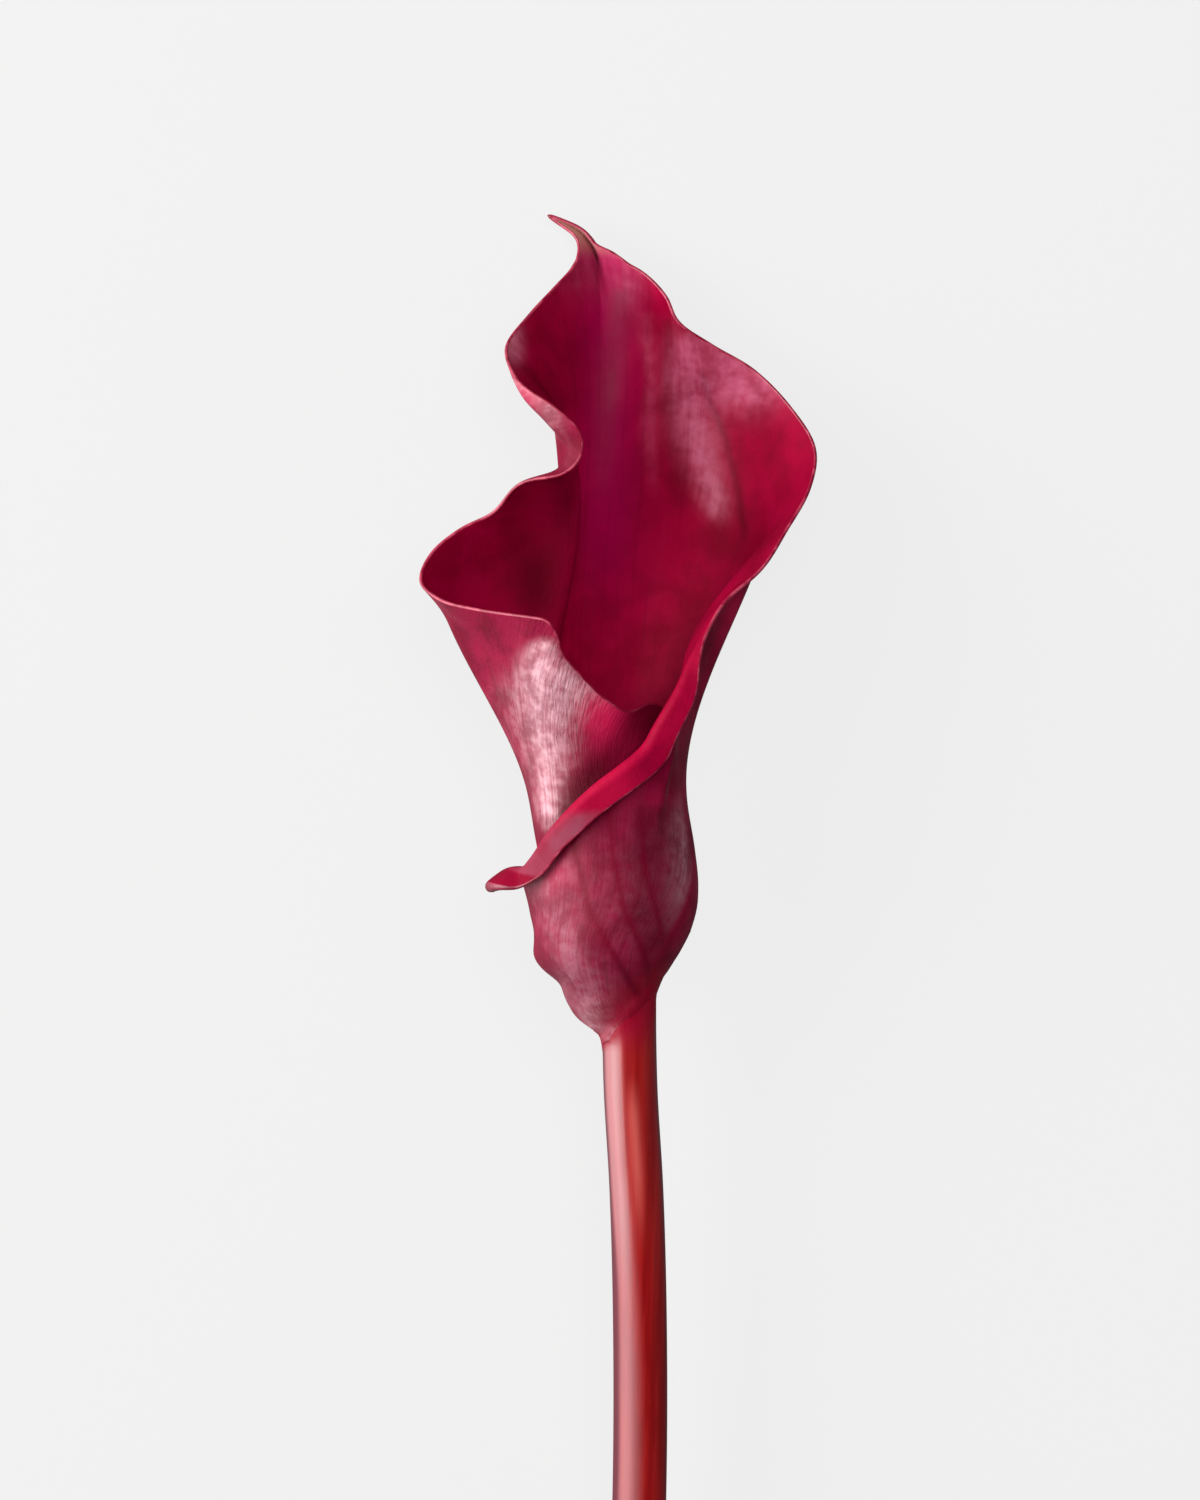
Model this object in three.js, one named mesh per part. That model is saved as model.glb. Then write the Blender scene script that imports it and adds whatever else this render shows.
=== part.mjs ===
// A cut calla lily lying on its back: +Z up, +Y towards the tip of the spathe, millimetres.
// The spathe is one sheet, wrapped round its own front and rolled outwards along its free margin.
// It stands on the stem, which goes on inside it as a short neck that carries the spadix.
// Everything is worked out on the flower's own axis: the origin is where the stem meets the spathe,
// +Y runs along the tube, +Z is the open front. The parts are then set down on z = 0.
import * as THREE from "three";

// ---- driving dimensions
const SHEET_BASE = 1.0; // thickness of the spathe where it leaves the stem
const SHEET_RIM = 0.65; // thickness at its margin
const EAR_EXTRA = 0.7; // the margin is rolled up thick at the ear on the left
const SHEET_START = 0.15; // the middle surface of the sheet starts this far above the ring on the stem
const OBLIQUE = 8.4; // the spathe joins the stem this much higher on the right than on the left
const WRAP_PITCH = 2.2; // how far the sheet moves outwards in one turn
const SEAM_OPENS = 4.0; // height over which the layers of the wrap separate
const TUBE_TOP = 33.0; // above this height the sheet leaves the tube and flares
const BASE_FIRST = 80; // turn of the inner margin where the sheet leaves the stem, degrees
const BASE_LAST = 436; // turn of the outer margin there
const FAN_START = 2.0; // the ribs fan out round the tube from this height above the base ring
const FAN_HEIGHT = 20.0;
const SHOULDER_LEAN = 0.35; // how far a rib has turned towards the rim at its shoulder
const LIP_BEND = 0.55; // share of the rolled lip that is bent, the rest is straight
const LEAVE_SHARE = 0.6; // a rib with a low rim leaves the tube at this share of the rim's height
const TAIL_ROOT = 115.8; // above this height the tail bends to the left round an arc
const TAIL_AXIS = -5.7; // X of its middle line
const TAIL_RADIUS = 6.5;
const TAIL_TURN = 60; // degrees that it bends before it goes on straight
const FLOOR = -19.7; // what the back of the spathe lies on, below the flower's axis
const PRESS_SOFTNESS = 0.25; // how gradually the back flattens as it comes down to the floor
const FLAT_CATCH = 0.3; // the sheet is quite flat where it is nearer the floor than this
const REST_X = 3.0; // middle of the flat spot on the back
const REST_Y = 94.0;
const GAP = 0.3; // between neighbouring pieces
const STEM_RADIUS = 3.95;
const CUT_RADIUS = 4.25; // radius at the cut end
const JOINT_SWELL = 0.25; // the stem is a little thicker where it meets the spathe
const NECK_RADIUS = 3.0; // the stem inside the spathe
const NECK_TOP = 10.0;
const SPADIX_RADIUS = 3.7;
const SPADIX_TOP = 45.5;
const FLORETS = 9; // round one ring of the spadix
const FLORET_HEIGHT = 0.16; // how far they swell out of it

// ---- how finely each piece is divided
const COLUMNS = 68; // across the sheet, from the inner margin to the outer one
const ROWS_BODY = 16; // along the sheet, from the stem to the band at the margin
const ROWS_BAND = 7; // in the band at the margin, where the lip rolls
const BAND = 6.5; // width of that band
const STEM_SIDES = 16;
const SPADIX_SIDES = 27;
const SPADIX_RINGS = 44;

// The tube: height, left edge, right edge, depth in front of the axis, depth behind it.
const TUBE = [
  [0.0, -4.2, 4.1, 4.1, 4.1],
  [2.0, -6.5, 5.1, 4.75, 4.8],
  [4.5, -8.0, 6.0, 6.0, 6.1],
  [6.6, -9.2, 6.8, 7.5, 7.5],
  [8.4, -10.5, 7.4, 8.7, 8.6],
  [10.0, -11.6, 7.9, 9.6, 9.4],
  [12.0, -12.5, 8.5, 10.4, 10.2],
  [14.5, -13.0, 9.0, 11.0, 10.9],
  [18.5, -13.0, 9.6, 11.5, 11.6],
  [23.0, -13.5, 9.8, 11.9, 12.0],
  [28.0, -14.6, 9.3, 12.0, 12.0],
  [35.0, -15.8, 8.2, 12.2, 12.0],
  [45.0, -17.1, 7.9, 12.8, 13.0],
];

// Lumps on the left of the swelling: turn, height, reach in turn, reach in height, how far it stands out.
const LUMPS = [
  [92, 11.6, 28, 2.0, 0.8],
  [92, 7.9, 28, 1.5, -0.9],
];

// The mouth. Each station is the end of one rib of the sheet: its turn round the flower in degrees
// (0 front, 90 left, 180 back, 270 right), the point on the rim, the shoulder that the rib passes
// on its way there, and the length and angle of the lip rolled beyond the rim, outwards, or inwards
// where the angle is negative.
const MOUTH = [
  // the corner tucked inside the wrap, and the low front of the inner margin
  [-36, 5.1, 49.0, 7.5, 3.8, 43.5, 7.4, 0.0, 0],
  [-20, 3.0, 49.6, 9.4, 1.5, 43.5, 9.2, 0.0, 0],
  [-6, -0.4, 48.4, 11.6, -2.7, 42.8, 10.8, 0.0, 0],
  [6, -4.2, 50.6, 13.6, -5.8, 44.2, 12.0, 0.0, 0],
  [15, -7.6, 54.0, 16.2, -8.6, 46.8, 13.4, 0.0, 0],
  [23, -9.9, 56.8, 18.0, -10.8, 49.4, 14.4, 0.0, 0],
  // the crest at the front and the lobe on the left
  [30, -11.0, 59.8, 19.2, -12.4, 51.8, 14.8, 0.0, 0],
  [34, -12.4, 61.9, 19.6, -13.8, 53.4, 14.4, 0.0, 0],
  [39, -14.8, 62.5, 18.6, -15.6, 54.4, 13.2, 0.0, 0],
  [46, -17.8, 62.9, 16.4, -16.9, 55.3, 11.4, 0.0, 0],
  [56, -22.9, 63.7, 12.8, -19.9, 56.6, 8.8, 0.0, 0],
  [67, -28.4, 65.2, 9.0, -23.9, 59.0, 5.6, 0.0, 0],
  [78, -31.3, 68.0, 6.0, -26.9, 61.6, 3.4, 0.0, 0],
  [86, -29.8, 72.1, 3.5, -26.4, 64.0, 0.0, 0.0, 0],
  [93, -25.4, 75.8, 2.5, -23.0, 67.2, -3.0, 0.0, 0],
  [99, -20.4, 78.2, 3.0, -17.4, 71.0, -4.0, 0.3, -10],
  // the pinch, where the margin leans in over the mouth and rolls in a little
  [105, -16.4, 82.4, 5.0, -13.8, 74.0, -4.2, 1.0, -30],
  [111, -10.5, 84.8, 6.6, -9.4, 76.8, -3.6, 2.2, -60],
  [117, -9.4, 88.0, 7.2, -7.9, 80.4, -3.4, 3.1, -80],
  [123, -12.3, 91.8, 6.2, -7.9, 84.0, -4.0, 3.0, -80],
  [129, -15.6, 95.4, 3.8, -8.5, 87.6, -5.6, 2.2, -60],
  // the upper bulge on the left, up to the tip
  [135, -17.6, 99.4, 1.0, -10.1, 90.6, -7.7, 1.0, -30],
  [142, -18.3, 103.3, -3.0, -11.6, 93.2, -10.2, 0.3, -10],
  [150, -15.2, 108.0, -7.5, -10.4, 96.0, -12.8, 0.0, 0],
  [159, -11.4, 112.2, -11.0, -8.4, 99.0, -15.0, 0.0, 0],
  [167, -8.7, 115.3, -13.4, -6.6, 102.0, -16.5, 0.0, 0],
  [171.5, -7.5, 118.0, -14.6, -5.5, 103.5, -17.3, 0.0, 0],
  // the tip, drawn out into a short tail that curls to the left
  [175, -6.8, 120.8, -15.4, -4.8, 104.5, -17.9, 0.0, 0],
  [178, -5.6, 125.2, -16.8, -4.2, 105.0, -18.3, 0.0, 0],
  [181, -4.2, 121.4, -15.4, -3.5, 105.0, -18.6, 0.0, 0],
  [185, -4.5, 118.6, -14.9, -2.5, 104.0, -18.9, 0.0, 0],
  // the back, down its right side to the lobe on the right
  [192, -2.0, 116.8, -14.6, -0.8, 103.0, -19.3, 0.0, 0],
  [201, 2.1, 114.5, -13.6, 2.0, 101.0, -19.6, 0.0, 0],
  [210, 5.4, 111.0, -12.0, 5.1, 96.8, -19.6, 0.0, 0],
  [218, 7.2, 107.3, -11.5, 8.1, 93.8, -19.0, 0.0, 0],
  [227, 12.3, 103.7, -12.5, 11.4, 89.3, -18.2, 0.0, 0],
  [236, 18.6, 99.9, -12.0, 15.0, 85.5, -16.8, 0.0, 0],
  [245, 24.2, 94.1, -9.0, 18.3, 81.0, -14.2, 0.0, 0],
  [254, 27.7, 88.1, -5.5, 19.8, 75.8, -10.5, 0.0, 0],
  [262, 26.9, 82.0, -1.0, 18.8, 70.5, -6.0, 0.0, 0],
  // the free margin comes forward, and its lip begins to roll outwards
  [271, 23.3, 75.5, 3.5, 14.9, 66.5, -1.5, 0.0, 0],
  [281, 19.7, 69.9, 7.5, 10.9, 61.5, 3.5, 0.0, 0],
  [291, 13.8, 64.6, 10.0, 8.5, 57.0, 7.0, 0.4, 10],
  [301, 10.9, 60.0, 12.0, 7.9, 53.0, 9.5, 0.9, 35],
  [310, 8.6, 55.6, 13.6, 7.1, 49.5, 11.3, 2.4, 80],
  [319, 6.3, 50.0, 14.4, 6.4, 44.0, 12.4, 4.6, 150],
];

// The free margin where it lies on the tube: turn, height, how far it stands off the tube, and the
// length and angle of its lip. It winds down across the front to the ear on the left.
const FREE_MARGIN = [
  [330, 43.6, 2.0, 5.8, 180],
  [347, 39.6, 1.0, 5.8, 185],
  [362, 36.9, 0.5, 5.8, 188],
  [375, 34.4, 0.3, 5.6, 188],
  [394, 30.7, 0.2, 5.4, 185],
  [418, 26.1, 0.2, 5.2, 178],
  [431, 24.3, 0.5, 5.4, 150],
  [438, 23.8, 1.0, 6.5, 124],
  [446, 23.3, 1.4, 6.6, 112],
];

// The middle line of the stem from the spathe to the cut end. It comes down to the floor there.
const STEM_LINE = [
  [-0.1, 0, 0],
  [0.1, -7, -0.25],
  [1.0, -23, -1.0],
  [1.6, -50, -2.9],
  [1.0, -85, -5.7],
  [-1.6, -125, -8.9],
  [-5.6, -170, -12.0],
  [-11.5, -225, FLOOR + CUT_RADIUS],
];

// The middle line of the spadix, inside the tube.
const SPADIX_LINE = [
  [-0.1, NECK_TOP + GAP, 0],
  [-1.4, 20, 0],
  [-2.8, 33, -0.3],
  [-4.6, SPADIX_TOP, -1.0],
];

// ---- small helpers
const radians = (degrees) => (degrees * Math.PI) / 180;
const clamp = THREE.MathUtils.clamp;
const vector = (x, y, z) => new THREE.Vector3(x, y, z);

// Runs smoothly from 0 to 1 as x does.
const ease = (x) => THREE.MathUtils.smoothstep(x, 0, 1);

// A soft bump: 1 at the middle, and 1/e a reach away from it.
const bell = (x, middle, reach) => Math.exp(-(((x - middle) / reach) ** 2));

// The smaller of two numbers, rounded off where they meet.
const softMin = (a, b, width) => Math.min(a, b) - width * Math.log1p(Math.exp(-Math.abs(a - b) / width));

// Cubic Hermite between (0, a) and (1, b); slopes are given per unit of the length h.
function hermite(t, a, b, slopeA, slopeB, h) {
  const u = 1 - t;
  return a.clone().multiplyScalar((1 + 2 * t) * u * u)
    .addScaledVector(slopeA, t * u * u * h)
    .addScaledVector(b, t * t * (3 - 2 * t))
    .addScaledVector(slopeB, -t * t * u * h);
}

// A smooth curve through rows of numbers, read at any place between the given places.
function tableCurve(places, rows) {
  const last = places.length - 1;
  const steps = rows.slice(1).map((row, i) => row.map((v, c) => (v - rows[i][c]) / (places[i + 1] - places[i])));
  const slopes = rows.map((row, i) => {
    if (i === 0) return steps[0];
    if (i === last) return steps[last - 1];
    const before = places[i] - places[i - 1];
    const after = places[i + 1] - places[i];
    return row.map((v, c) => (steps[i - 1][c] * after + steps[i][c] * before) / (before + after));
  });
  return (place) => {
    let i = places.findIndex((p) => p > place) - 1;
    if (i < 0) i = place < places[0] ? 0 : last - 1;
    const h = places[i + 1] - places[i];
    const t = (place - places[i]) / h;
    const u = 1 - t;
    return rows[i].map((v, c) => (1 + 2 * t) * u * u * v + t * u * u * h * slopes[i][c]
      + t * t * (3 - 2 * t) * rows[i + 1][c] - t * t * u * h * slopes[i + 1][c]);
  };
}

// ---- the tube
const tubeSection = tableCurve(TUBE.map((row) => row[0]), TUBE.map((row) => row.slice(1)));

// Height of the base ring: lowest on the left, highest on the right.
const baseHeight = (turn) => (OBLIQUE / 2) * (1 - Math.sin(radians(turn)));

// A point of the tube. The section is an oval whose size spirals outwards with the turn and follows
// the lumps, and the heights near the base are pushed together so that the tube starts on the
// slanting base ring.
function tubePoint(turn, y) {
  const base = baseHeight(turn);
  const height = Math.max(y < FAN_HEIGHT ? (y - base) / (1 - base / FAN_HEIGHT) : y, 0);
  const [left, right, front, back] = tubeSection(height);
  const scroll = ((WRAP_PITCH * (turn - 270)) / 360) * ease(height / SEAM_OPENS);
  const spiral = LUMPS.reduce((sum, [lumpTurn, lumpHeight, turnReach, heightReach, size]) => {
    const aside = (turn - lumpTurn + 540) % 360;
    return sum + size * bell(aside, 180, turnReach) * bell(height, lumpHeight, heightReach);
  }, scroll);
  const ahead = Math.cos(radians(turn));
  const depth = front * (0.5 + 0.5 * ahead) + back * (0.5 - 0.5 * ahead);
  const width = (right - left) / 2 + spiral;
  return vector((left + right) / 2 - width * Math.sin(radians(turn)), y, (depth + spiral) * ahead);
}

// ---- the stations of the whole rim, as rows like those of MOUTH
const freeMarginRows = FREE_MARGIN.map(([turn, height, lift, lipLength, lipAngle]) => {
  const outward = vector(-Math.sin(radians(turn)), 0, Math.cos(radians(turn)));
  const rim = tubePoint(turn, height).addScaledVector(outward, lift);
  const shoulder = tubePoint(turn, Math.max(height - 5, 0.8 * height)).addScaledVector(outward, lift / 2);
  return [turn, ...rim.toArray(), ...shoulder.toArray(), lipLength, lipAngle];
});
const stations = [...MOUTH, ...freeMarginRows];
const rimOf = (row) => vector(row[1], row[2], row[3]);

// The stations are spread over 0..1 by the square root of their spacing, so that the mesh is finer
// where the rim turns sharply.
const spread = [0];
stations.slice(1).forEach((row, i) => {
  spread.push(spread[i] + Math.sqrt(rimOf(row).distanceTo(rimOf(stations[i]))));
});
const stationCurve = tableCurve(spread.map((s) => s / spread[spread.length - 1]), stations);
const firstTurn = stations[0][0];
const lastTurn = stations[stations.length - 1][0];

// ---- one rib of the sheet: up the tube, past the shoulder, to the rim and round the lip
function makeRib(u) {
  const row = stationCurve(u);
  const turn = row[0];
  const rim = rimOf(row);
  const shoulder = vector(row[4], row[5], row[6]);
  const lipLength = Math.max(row[7], 0);
  const lipAngle = radians(Math.abs(row[8]) < 1 ? 1 : row[8]);
  const baseTurn = BASE_FIRST + ((turn - firstTurn) / (lastTurn - firstTurn)) * (BASE_LAST - BASE_FIRST);
  const base = baseHeight(baseTurn) + SHEET_START;
  const leave = Math.max(softMin(TUBE_TOP, LEAVE_SHARE * rim.y + 1, 1.2), base + 0.2);

  // All ribs start side by side on the base ring and fan out to their own turn as they rise.
  const onTube = (y) => {
    const gathered = 1 - ease((y - base - FAN_START) / FAN_HEIGHT);
    return tubePoint(turn + (baseTurn - turn) * gathered, y);
  };
  const start = onTube(leave);
  const startSlope = onTube(leave + 0.4).sub(onTube(leave - 0.4)).normalize();
  const lowLength = 1.15 * (leave - base);
  const midLength = shoulder.distanceTo(start);
  const topLength = rim.distanceTo(shoulder);
  const midWay = shoulder.clone().sub(start).divideScalar(midLength);
  const topWay = rim.clone().sub(shoulder).divideScalar(topLength);
  const shoulderSlope = midWay.clone().lerp(topWay, SHOULDER_LEAN).normalize();
  const rimSlope = topWay.clone().multiplyScalar(1.5).addScaledVector(shoulderSlope, -0.5).normalize();

  // The lip bends in the plane across the rim: beyond is on from the sheet, outward away from it.
  const nudge = 0.003;
  const alongRim = rimOf(stationCurve(Math.min(u + nudge, 1))).sub(rimOf(stationCurve(Math.max(u - nudge, 0))))
    .normalize();
  const beyond = rimSlope.clone().addScaledVector(alongRim, -rimSlope.dot(alongRim)).normalize();
  const outward = beyond.clone().cross(alongRim);
  const bendLength = LIP_BEND * lipLength;
  const bendRadius = (bendLength + 1e-6) / lipAngle;
  const ribLength = lowLength + midLength + topLength;

  const pointAt = (s) => {
    if (s <= lowLength) return onTube(base + (s / lowLength) * (leave - base));
    if (s <= lowLength + midLength) {
      return hermite((s - lowLength) / midLength, start, shoulder, startSlope, shoulderSlope, midLength);
    }
    if (s <= ribLength) {
      return hermite((s - lowLength - midLength) / topLength, shoulder, rim, shoulderSlope, rimSlope, topLength);
    }
    const bent = Math.min(s - ribLength, bendLength);
    const straight = s - ribLength - bent;
    const angle = bent / bendRadius;
    return rim.clone()
      .addScaledVector(beyond, bendRadius * Math.sin(angle) + straight * Math.cos(lipAngle))
      .addScaledVector(outward, bendRadius * (1 - Math.cos(angle)) + straight * Math.sin(lipAngle));
  };
  return { turn, length: ribLength + lipLength, pointAt };
}

// ---- the sheet: a grid of points on its middle surface, then its two faces
const rowCount = ROWS_BODY + ROWS_BAND + 1;

// Distance along a rib of one row of the grid: even over the body, finer in the band at the margin.
function rowDistance(rib, row) {
  const band = Math.min(BAND, 0.45 * rib.length);
  if (row <= ROWS_BODY) return ((rib.length - band) * row) / ROWS_BODY;
  return rib.length - band + (band * (row - ROWS_BODY)) / ROWS_BAND;
}

// The tail is bent to the left, as a wire is bent over a finger: its height becomes a distance along
// an arc, and what lies beside its middle line stays square to it.
function curlTail(point) {
  const along = point.y - TAIL_ROOT;
  if (along <= 0) return;
  const angle = Math.min(along / TAIL_RADIUS, radians(TAIL_TURN));
  const rest = along - angle * TAIL_RADIUS;
  const side = point.x - TAIL_AXIS;
  const back = TAIL_RADIUS * (1 - Math.cos(angle)) + rest * Math.sin(angle);
  point.x = TAIL_AXIS - back + side * Math.cos(angle);
  point.y = TAIL_ROOT + (TAIL_RADIUS + side) * Math.sin(angle) + rest * Math.cos(angle);
}

// The tail is curled, and the back is pressed up where it would pass through the floor.
function settled(point, clearance) {
  curlTail(point);
  point.z = -softMin(-point.z, -(FLOOR + clearance), PRESS_SOFTNESS);
  return point;
}

function makeSpathe() {
  const ribs = Array.from({ length: COLUMNS }, (_, i) => makeRib(i / (COLUMNS - 1)));
  const grid = ribs.map((rib) => Array.from({ length: rowCount }, (_, j) => (
    settled(rib.pointAt(rowDistance(rib, j)), SHEET_BASE / 2)
  )));
  const neighbour = (i, j) => grid[clamp(i, 0, COLUMNS - 1)][clamp(j, 0, rowCount - 1)];

  const outer = [];
  const inner = [];
  grid.forEach((column, i) => column.forEach((point, j) => {
    const along = neighbour(i, j + 1).clone().sub(neighbour(i, j - 1));
    const across = neighbour(i + 1, j).clone().sub(neighbour(i - 1, j));
    const outward = along.cross(across).normalize();
    const t = j / (rowCount - 1);
    const ear = bell(ribs[i].turn, 444, 7) * ease((t - 0.75) / 0.25);
    const half = (SHEET_BASE + (SHEET_RIM - SHEET_BASE) * t + EAR_EXTRA * ear) / 2;
    const under = point.clone().addScaledVector(outward, half);
    if (under.z < FLOOR + FLAT_CATCH) under.z = FLOOR;
    outer.push(under);
    inner.push(point.clone().addScaledVector(outward, -half));
  }));

  const triangles = [];
  const quad = (a, b, c, d) => triangles.push(a, b, c, a, c, d);
  const at = (i, j) => i * rowCount + j;
  const shift = outer.length;
  const lastColumn = COLUMNS - 1;
  const lastRow = rowCount - 1;
  for (let i = 0; i < lastColumn; i += 1) {
    for (let j = 0; j < lastRow; j += 1) {
      const [a, b, c, d] = [at(i, j), at(i, j + 1), at(i + 1, j + 1), at(i + 1, j)];
      quad(a, b, c, d);
      triangles.push(a + shift, c + shift, b + shift, a + shift, d + shift, c + shift);
    }
    quad(at(i, 0), at(i + 1, 0), at(i + 1, 0) + shift, at(i, 0) + shift);
    quad(at(i + 1, lastRow), at(i, lastRow), at(i, lastRow) + shift, at(i + 1, lastRow) + shift);
  }
  for (let j = 0; j < lastRow; j += 1) {
    quad(at(0, j + 1), at(0, j), at(0, j) + shift, at(0, j + 1) + shift);
    quad(at(lastColumn, j), at(lastColumn, j + 1), at(lastColumn, j + 1) + shift, at(lastColumn, j) + shift);
  }
  return solid([...outer, ...inner], triangles);
}

function solid(points, triangles) {
  const geometry = new THREE.BufferGeometry();
  geometry.setAttribute("position", new THREE.Float32BufferAttribute(points.flatMap((p) => p.toArray()), 3));
  geometry.setIndex(triangles);
  geometry.computeVertexNormals();
  return geometry;
}

// ---- round pieces: rings of points joined into a closed body, with a flat cap at both ends
function closedRings(rings) {
  const sides = rings[0].length;
  const points = rings.flat();
  const triangles = [];
  for (let k = 0; k < rings.length - 1; k += 1) {
    for (let n = 0; n < sides; n += 1) {
      const next = (n + 1) % sides;
      const [a, b] = [k * sides + n, k * sides + next];
      triangles.push(a, b + sides, b, a, a + sides, b + sides);
    }
  }
  [[0, -1], [rings.length - 1, 1]].forEach(([k, way]) => {
    const centre = rings[k].reduce((sum, p) => sum.add(p), vector(0, 0, 0)).divideScalar(sides);
    points.push(centre);
    for (let n = 0; n < sides; n += 1) {
      const [a, b] = [k * sides + n, k * sides + ((n + 1) % sides)];
      triangles.push(points.length - 1, ...(way > 0 ? [b, a] : [a, b]));
    }
  });
  return solid(points, triangles);
}

// A middle line given by its points, read at a height y.
const lineThrough = (points) => {
  const rising = [...points].sort((a, b) => a[1] - b[1]);
  const curve = tableCurve(rising.map((p) => p[1]), rising.map((p) => [p[0], p[2]]));
  return (y) => {
    const [x, z] = curve(y);
    return vector(x, y, z);
  };
};

// One ring across a line that runs along Y. shape(turn) gives the radius and the shift along Y.
function ringAt(line, y, sides, shape) {
  return Array.from({ length: sides }, (_, n) => {
    const turn = (n * 360) / sides;
    const { radius, rise } = shape(turn);
    const centre = line(y + rise);
    const point = vector(-radius * Math.sin(radians(turn)), 0, radius * Math.cos(radians(turn)));
    return point.add(centre);
  });
}

function makeStem() {
  const line = lineThrough(STEM_LINE.concat([[-0.1, NECK_TOP + 5, 0]]));
  const cut = STEM_LINE[STEM_LINE.length - 1][1];
  const heights = [];
  for (let y = cut; y < -14; y += 6.5) heights.push(y);
  heights.push(-12, -9, -6, -3, -GAP);
  const rings = heights.map((y) => {
    const slant = ease((y + 12) / 12);
    const radius = STEM_RADIUS + (CUT_RADIUS - STEM_RADIUS) * (1 - ease((y - cut) / 150)) + JOINT_SWELL * slant;
    return ringAt(line, y, STEM_SIDES, (turn) => ({ radius, rise: slant * baseHeight(turn) }));
  });
  rings.push(ringAt(line, -GAP, STEM_SIDES, (turn) => ({ radius: NECK_RADIUS, rise: baseHeight(turn) })));
  rings.push(ringAt(line, NECK_TOP, STEM_SIDES, () => ({ radius: NECK_RADIUS, rise: 0 })));
  rings.flat().forEach((point) => {
    point.z = Math.max(point.z, FLOOR);
  });
  return closedRings(rings);
}

// The spadix: a blunt finger of florets. Each ring swells out in bumps, and every other ring is
// turned by half a bump, so that they stand in a staggered pattern. The rings lie closer near the tip.
function makeSpadix() {
  const line = lineThrough(SPADIX_LINE);
  const [low, high] = [NECK_TOP + GAP, SPADIX_TOP];
  const rings = Array.from({ length: SPADIX_RINGS }, (_, k) => {
    const t = 1 - (1 - k / (SPADIX_RINGS - 1)) ** 1.25;
    const taper = 0.8 + 0.2 * ease(t / 0.25);
    const bluntTip = Math.sqrt(Math.max(1 - t ** 9, 0.04));
    const fade = ease((1 - t) / 0.1) * ease(t / 0.06);
    return ringAt(line, low + (high - low) * t, SPADIX_SIDES, (turn) => {
      const bump = Math.cos(radians(FLORETS * turn) + (k % 2) * Math.PI) * (k % 2 === 0 ? 1 : 0.6);
      return { radius: SPADIX_RADIUS * taper * bluntTip + FLORET_HEIGHT * fade * bump, rise: 0 };
    });
  });
  return closedRings(rings);
}

// ---- the flower, set down on its back with the middle of the flat spot at the origin
const placed = vector(-REST_X, -REST_Y, -FLOOR);

function piece(name, geometry, color, roughness) {
  const mesh = new THREE.Mesh(geometry, new THREE.MeshStandardMaterial({ color, roughness, metalness: 0 }));
  mesh.name = name;
  mesh.position.copy(placed);
  return mesh;
}

const flower = new THREE.Group();
flower.add(piece("spathe", makeSpathe(), 0x7d0a30, 0.45));
flower.add(piece("spadix", makeSpadix(), 0xd79a2b, 0.8));
flower.add(piece("stem", makeStem(), 0x9c2122, 0.35));

export default flower;
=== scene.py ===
# %% [markdown]
# # A cut calla lily, looked down on
# The flower lies on its back on a pale table. It has three pieces that can be told apart: the
# spathe, which is the one big wrapped leaf that everybody calls the flower, the spadix, a finger of
# tiny true flowers deep inside it, and the stem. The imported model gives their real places, so this
# lesson starts by loading it, and it never moves anything in it.

# %% Load the frame
import math

import bpy
import numpy as np
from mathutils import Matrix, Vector


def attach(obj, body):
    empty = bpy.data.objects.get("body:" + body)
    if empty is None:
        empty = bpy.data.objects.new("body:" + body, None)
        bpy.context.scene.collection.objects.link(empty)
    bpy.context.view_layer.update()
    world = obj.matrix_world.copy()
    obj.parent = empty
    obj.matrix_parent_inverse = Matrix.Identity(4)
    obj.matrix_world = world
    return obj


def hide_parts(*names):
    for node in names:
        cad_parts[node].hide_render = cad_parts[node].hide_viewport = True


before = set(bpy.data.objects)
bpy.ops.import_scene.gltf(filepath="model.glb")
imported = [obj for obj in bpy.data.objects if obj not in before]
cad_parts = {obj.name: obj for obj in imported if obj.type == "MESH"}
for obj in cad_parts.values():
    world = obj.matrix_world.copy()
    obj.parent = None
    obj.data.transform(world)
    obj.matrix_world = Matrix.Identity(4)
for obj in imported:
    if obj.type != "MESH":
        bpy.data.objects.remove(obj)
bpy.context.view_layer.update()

scene = bpy.context.scene
scene.view_settings.view_transform = "Standard"
MM = 0.001

# %% [markdown]
# ## Where things are
# All the shapes below are worked out on the flower's own axis, in millimetres: the origin is where
# the stem meets the spathe, +Y runs up the flower and +Z comes out of its open front. The frame has
# its origin at the flat spot on the back instead, so one shift carries every point over.

# %% From the flower's axis to the frame
FLOOR = -19.7            # the table, below the flower's axis
REST = (3.0, 94.0)       # middle of the flat spot on the back
SHIFT = np.array([-REST[0], -REST[1], -FLOOR])


def to_frame(points):
    """Millimetres on the flower's axis -> metres in the frame: add the shift, times 0.001."""
    return (np.asarray(points, float) + SHIFT) * MM


print("flower axis is", SHIFT, "mm from the frame's origin")

# %% [markdown]
# ## The camera
# The photograph looks straight at the open front from far away, so here the camera looks straight
# down. A very long lens keeps the outline the same at every depth. The picture is 1200 by 1500
# pixels, and a pixel is 0.15 mm at the flower's axis.

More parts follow.
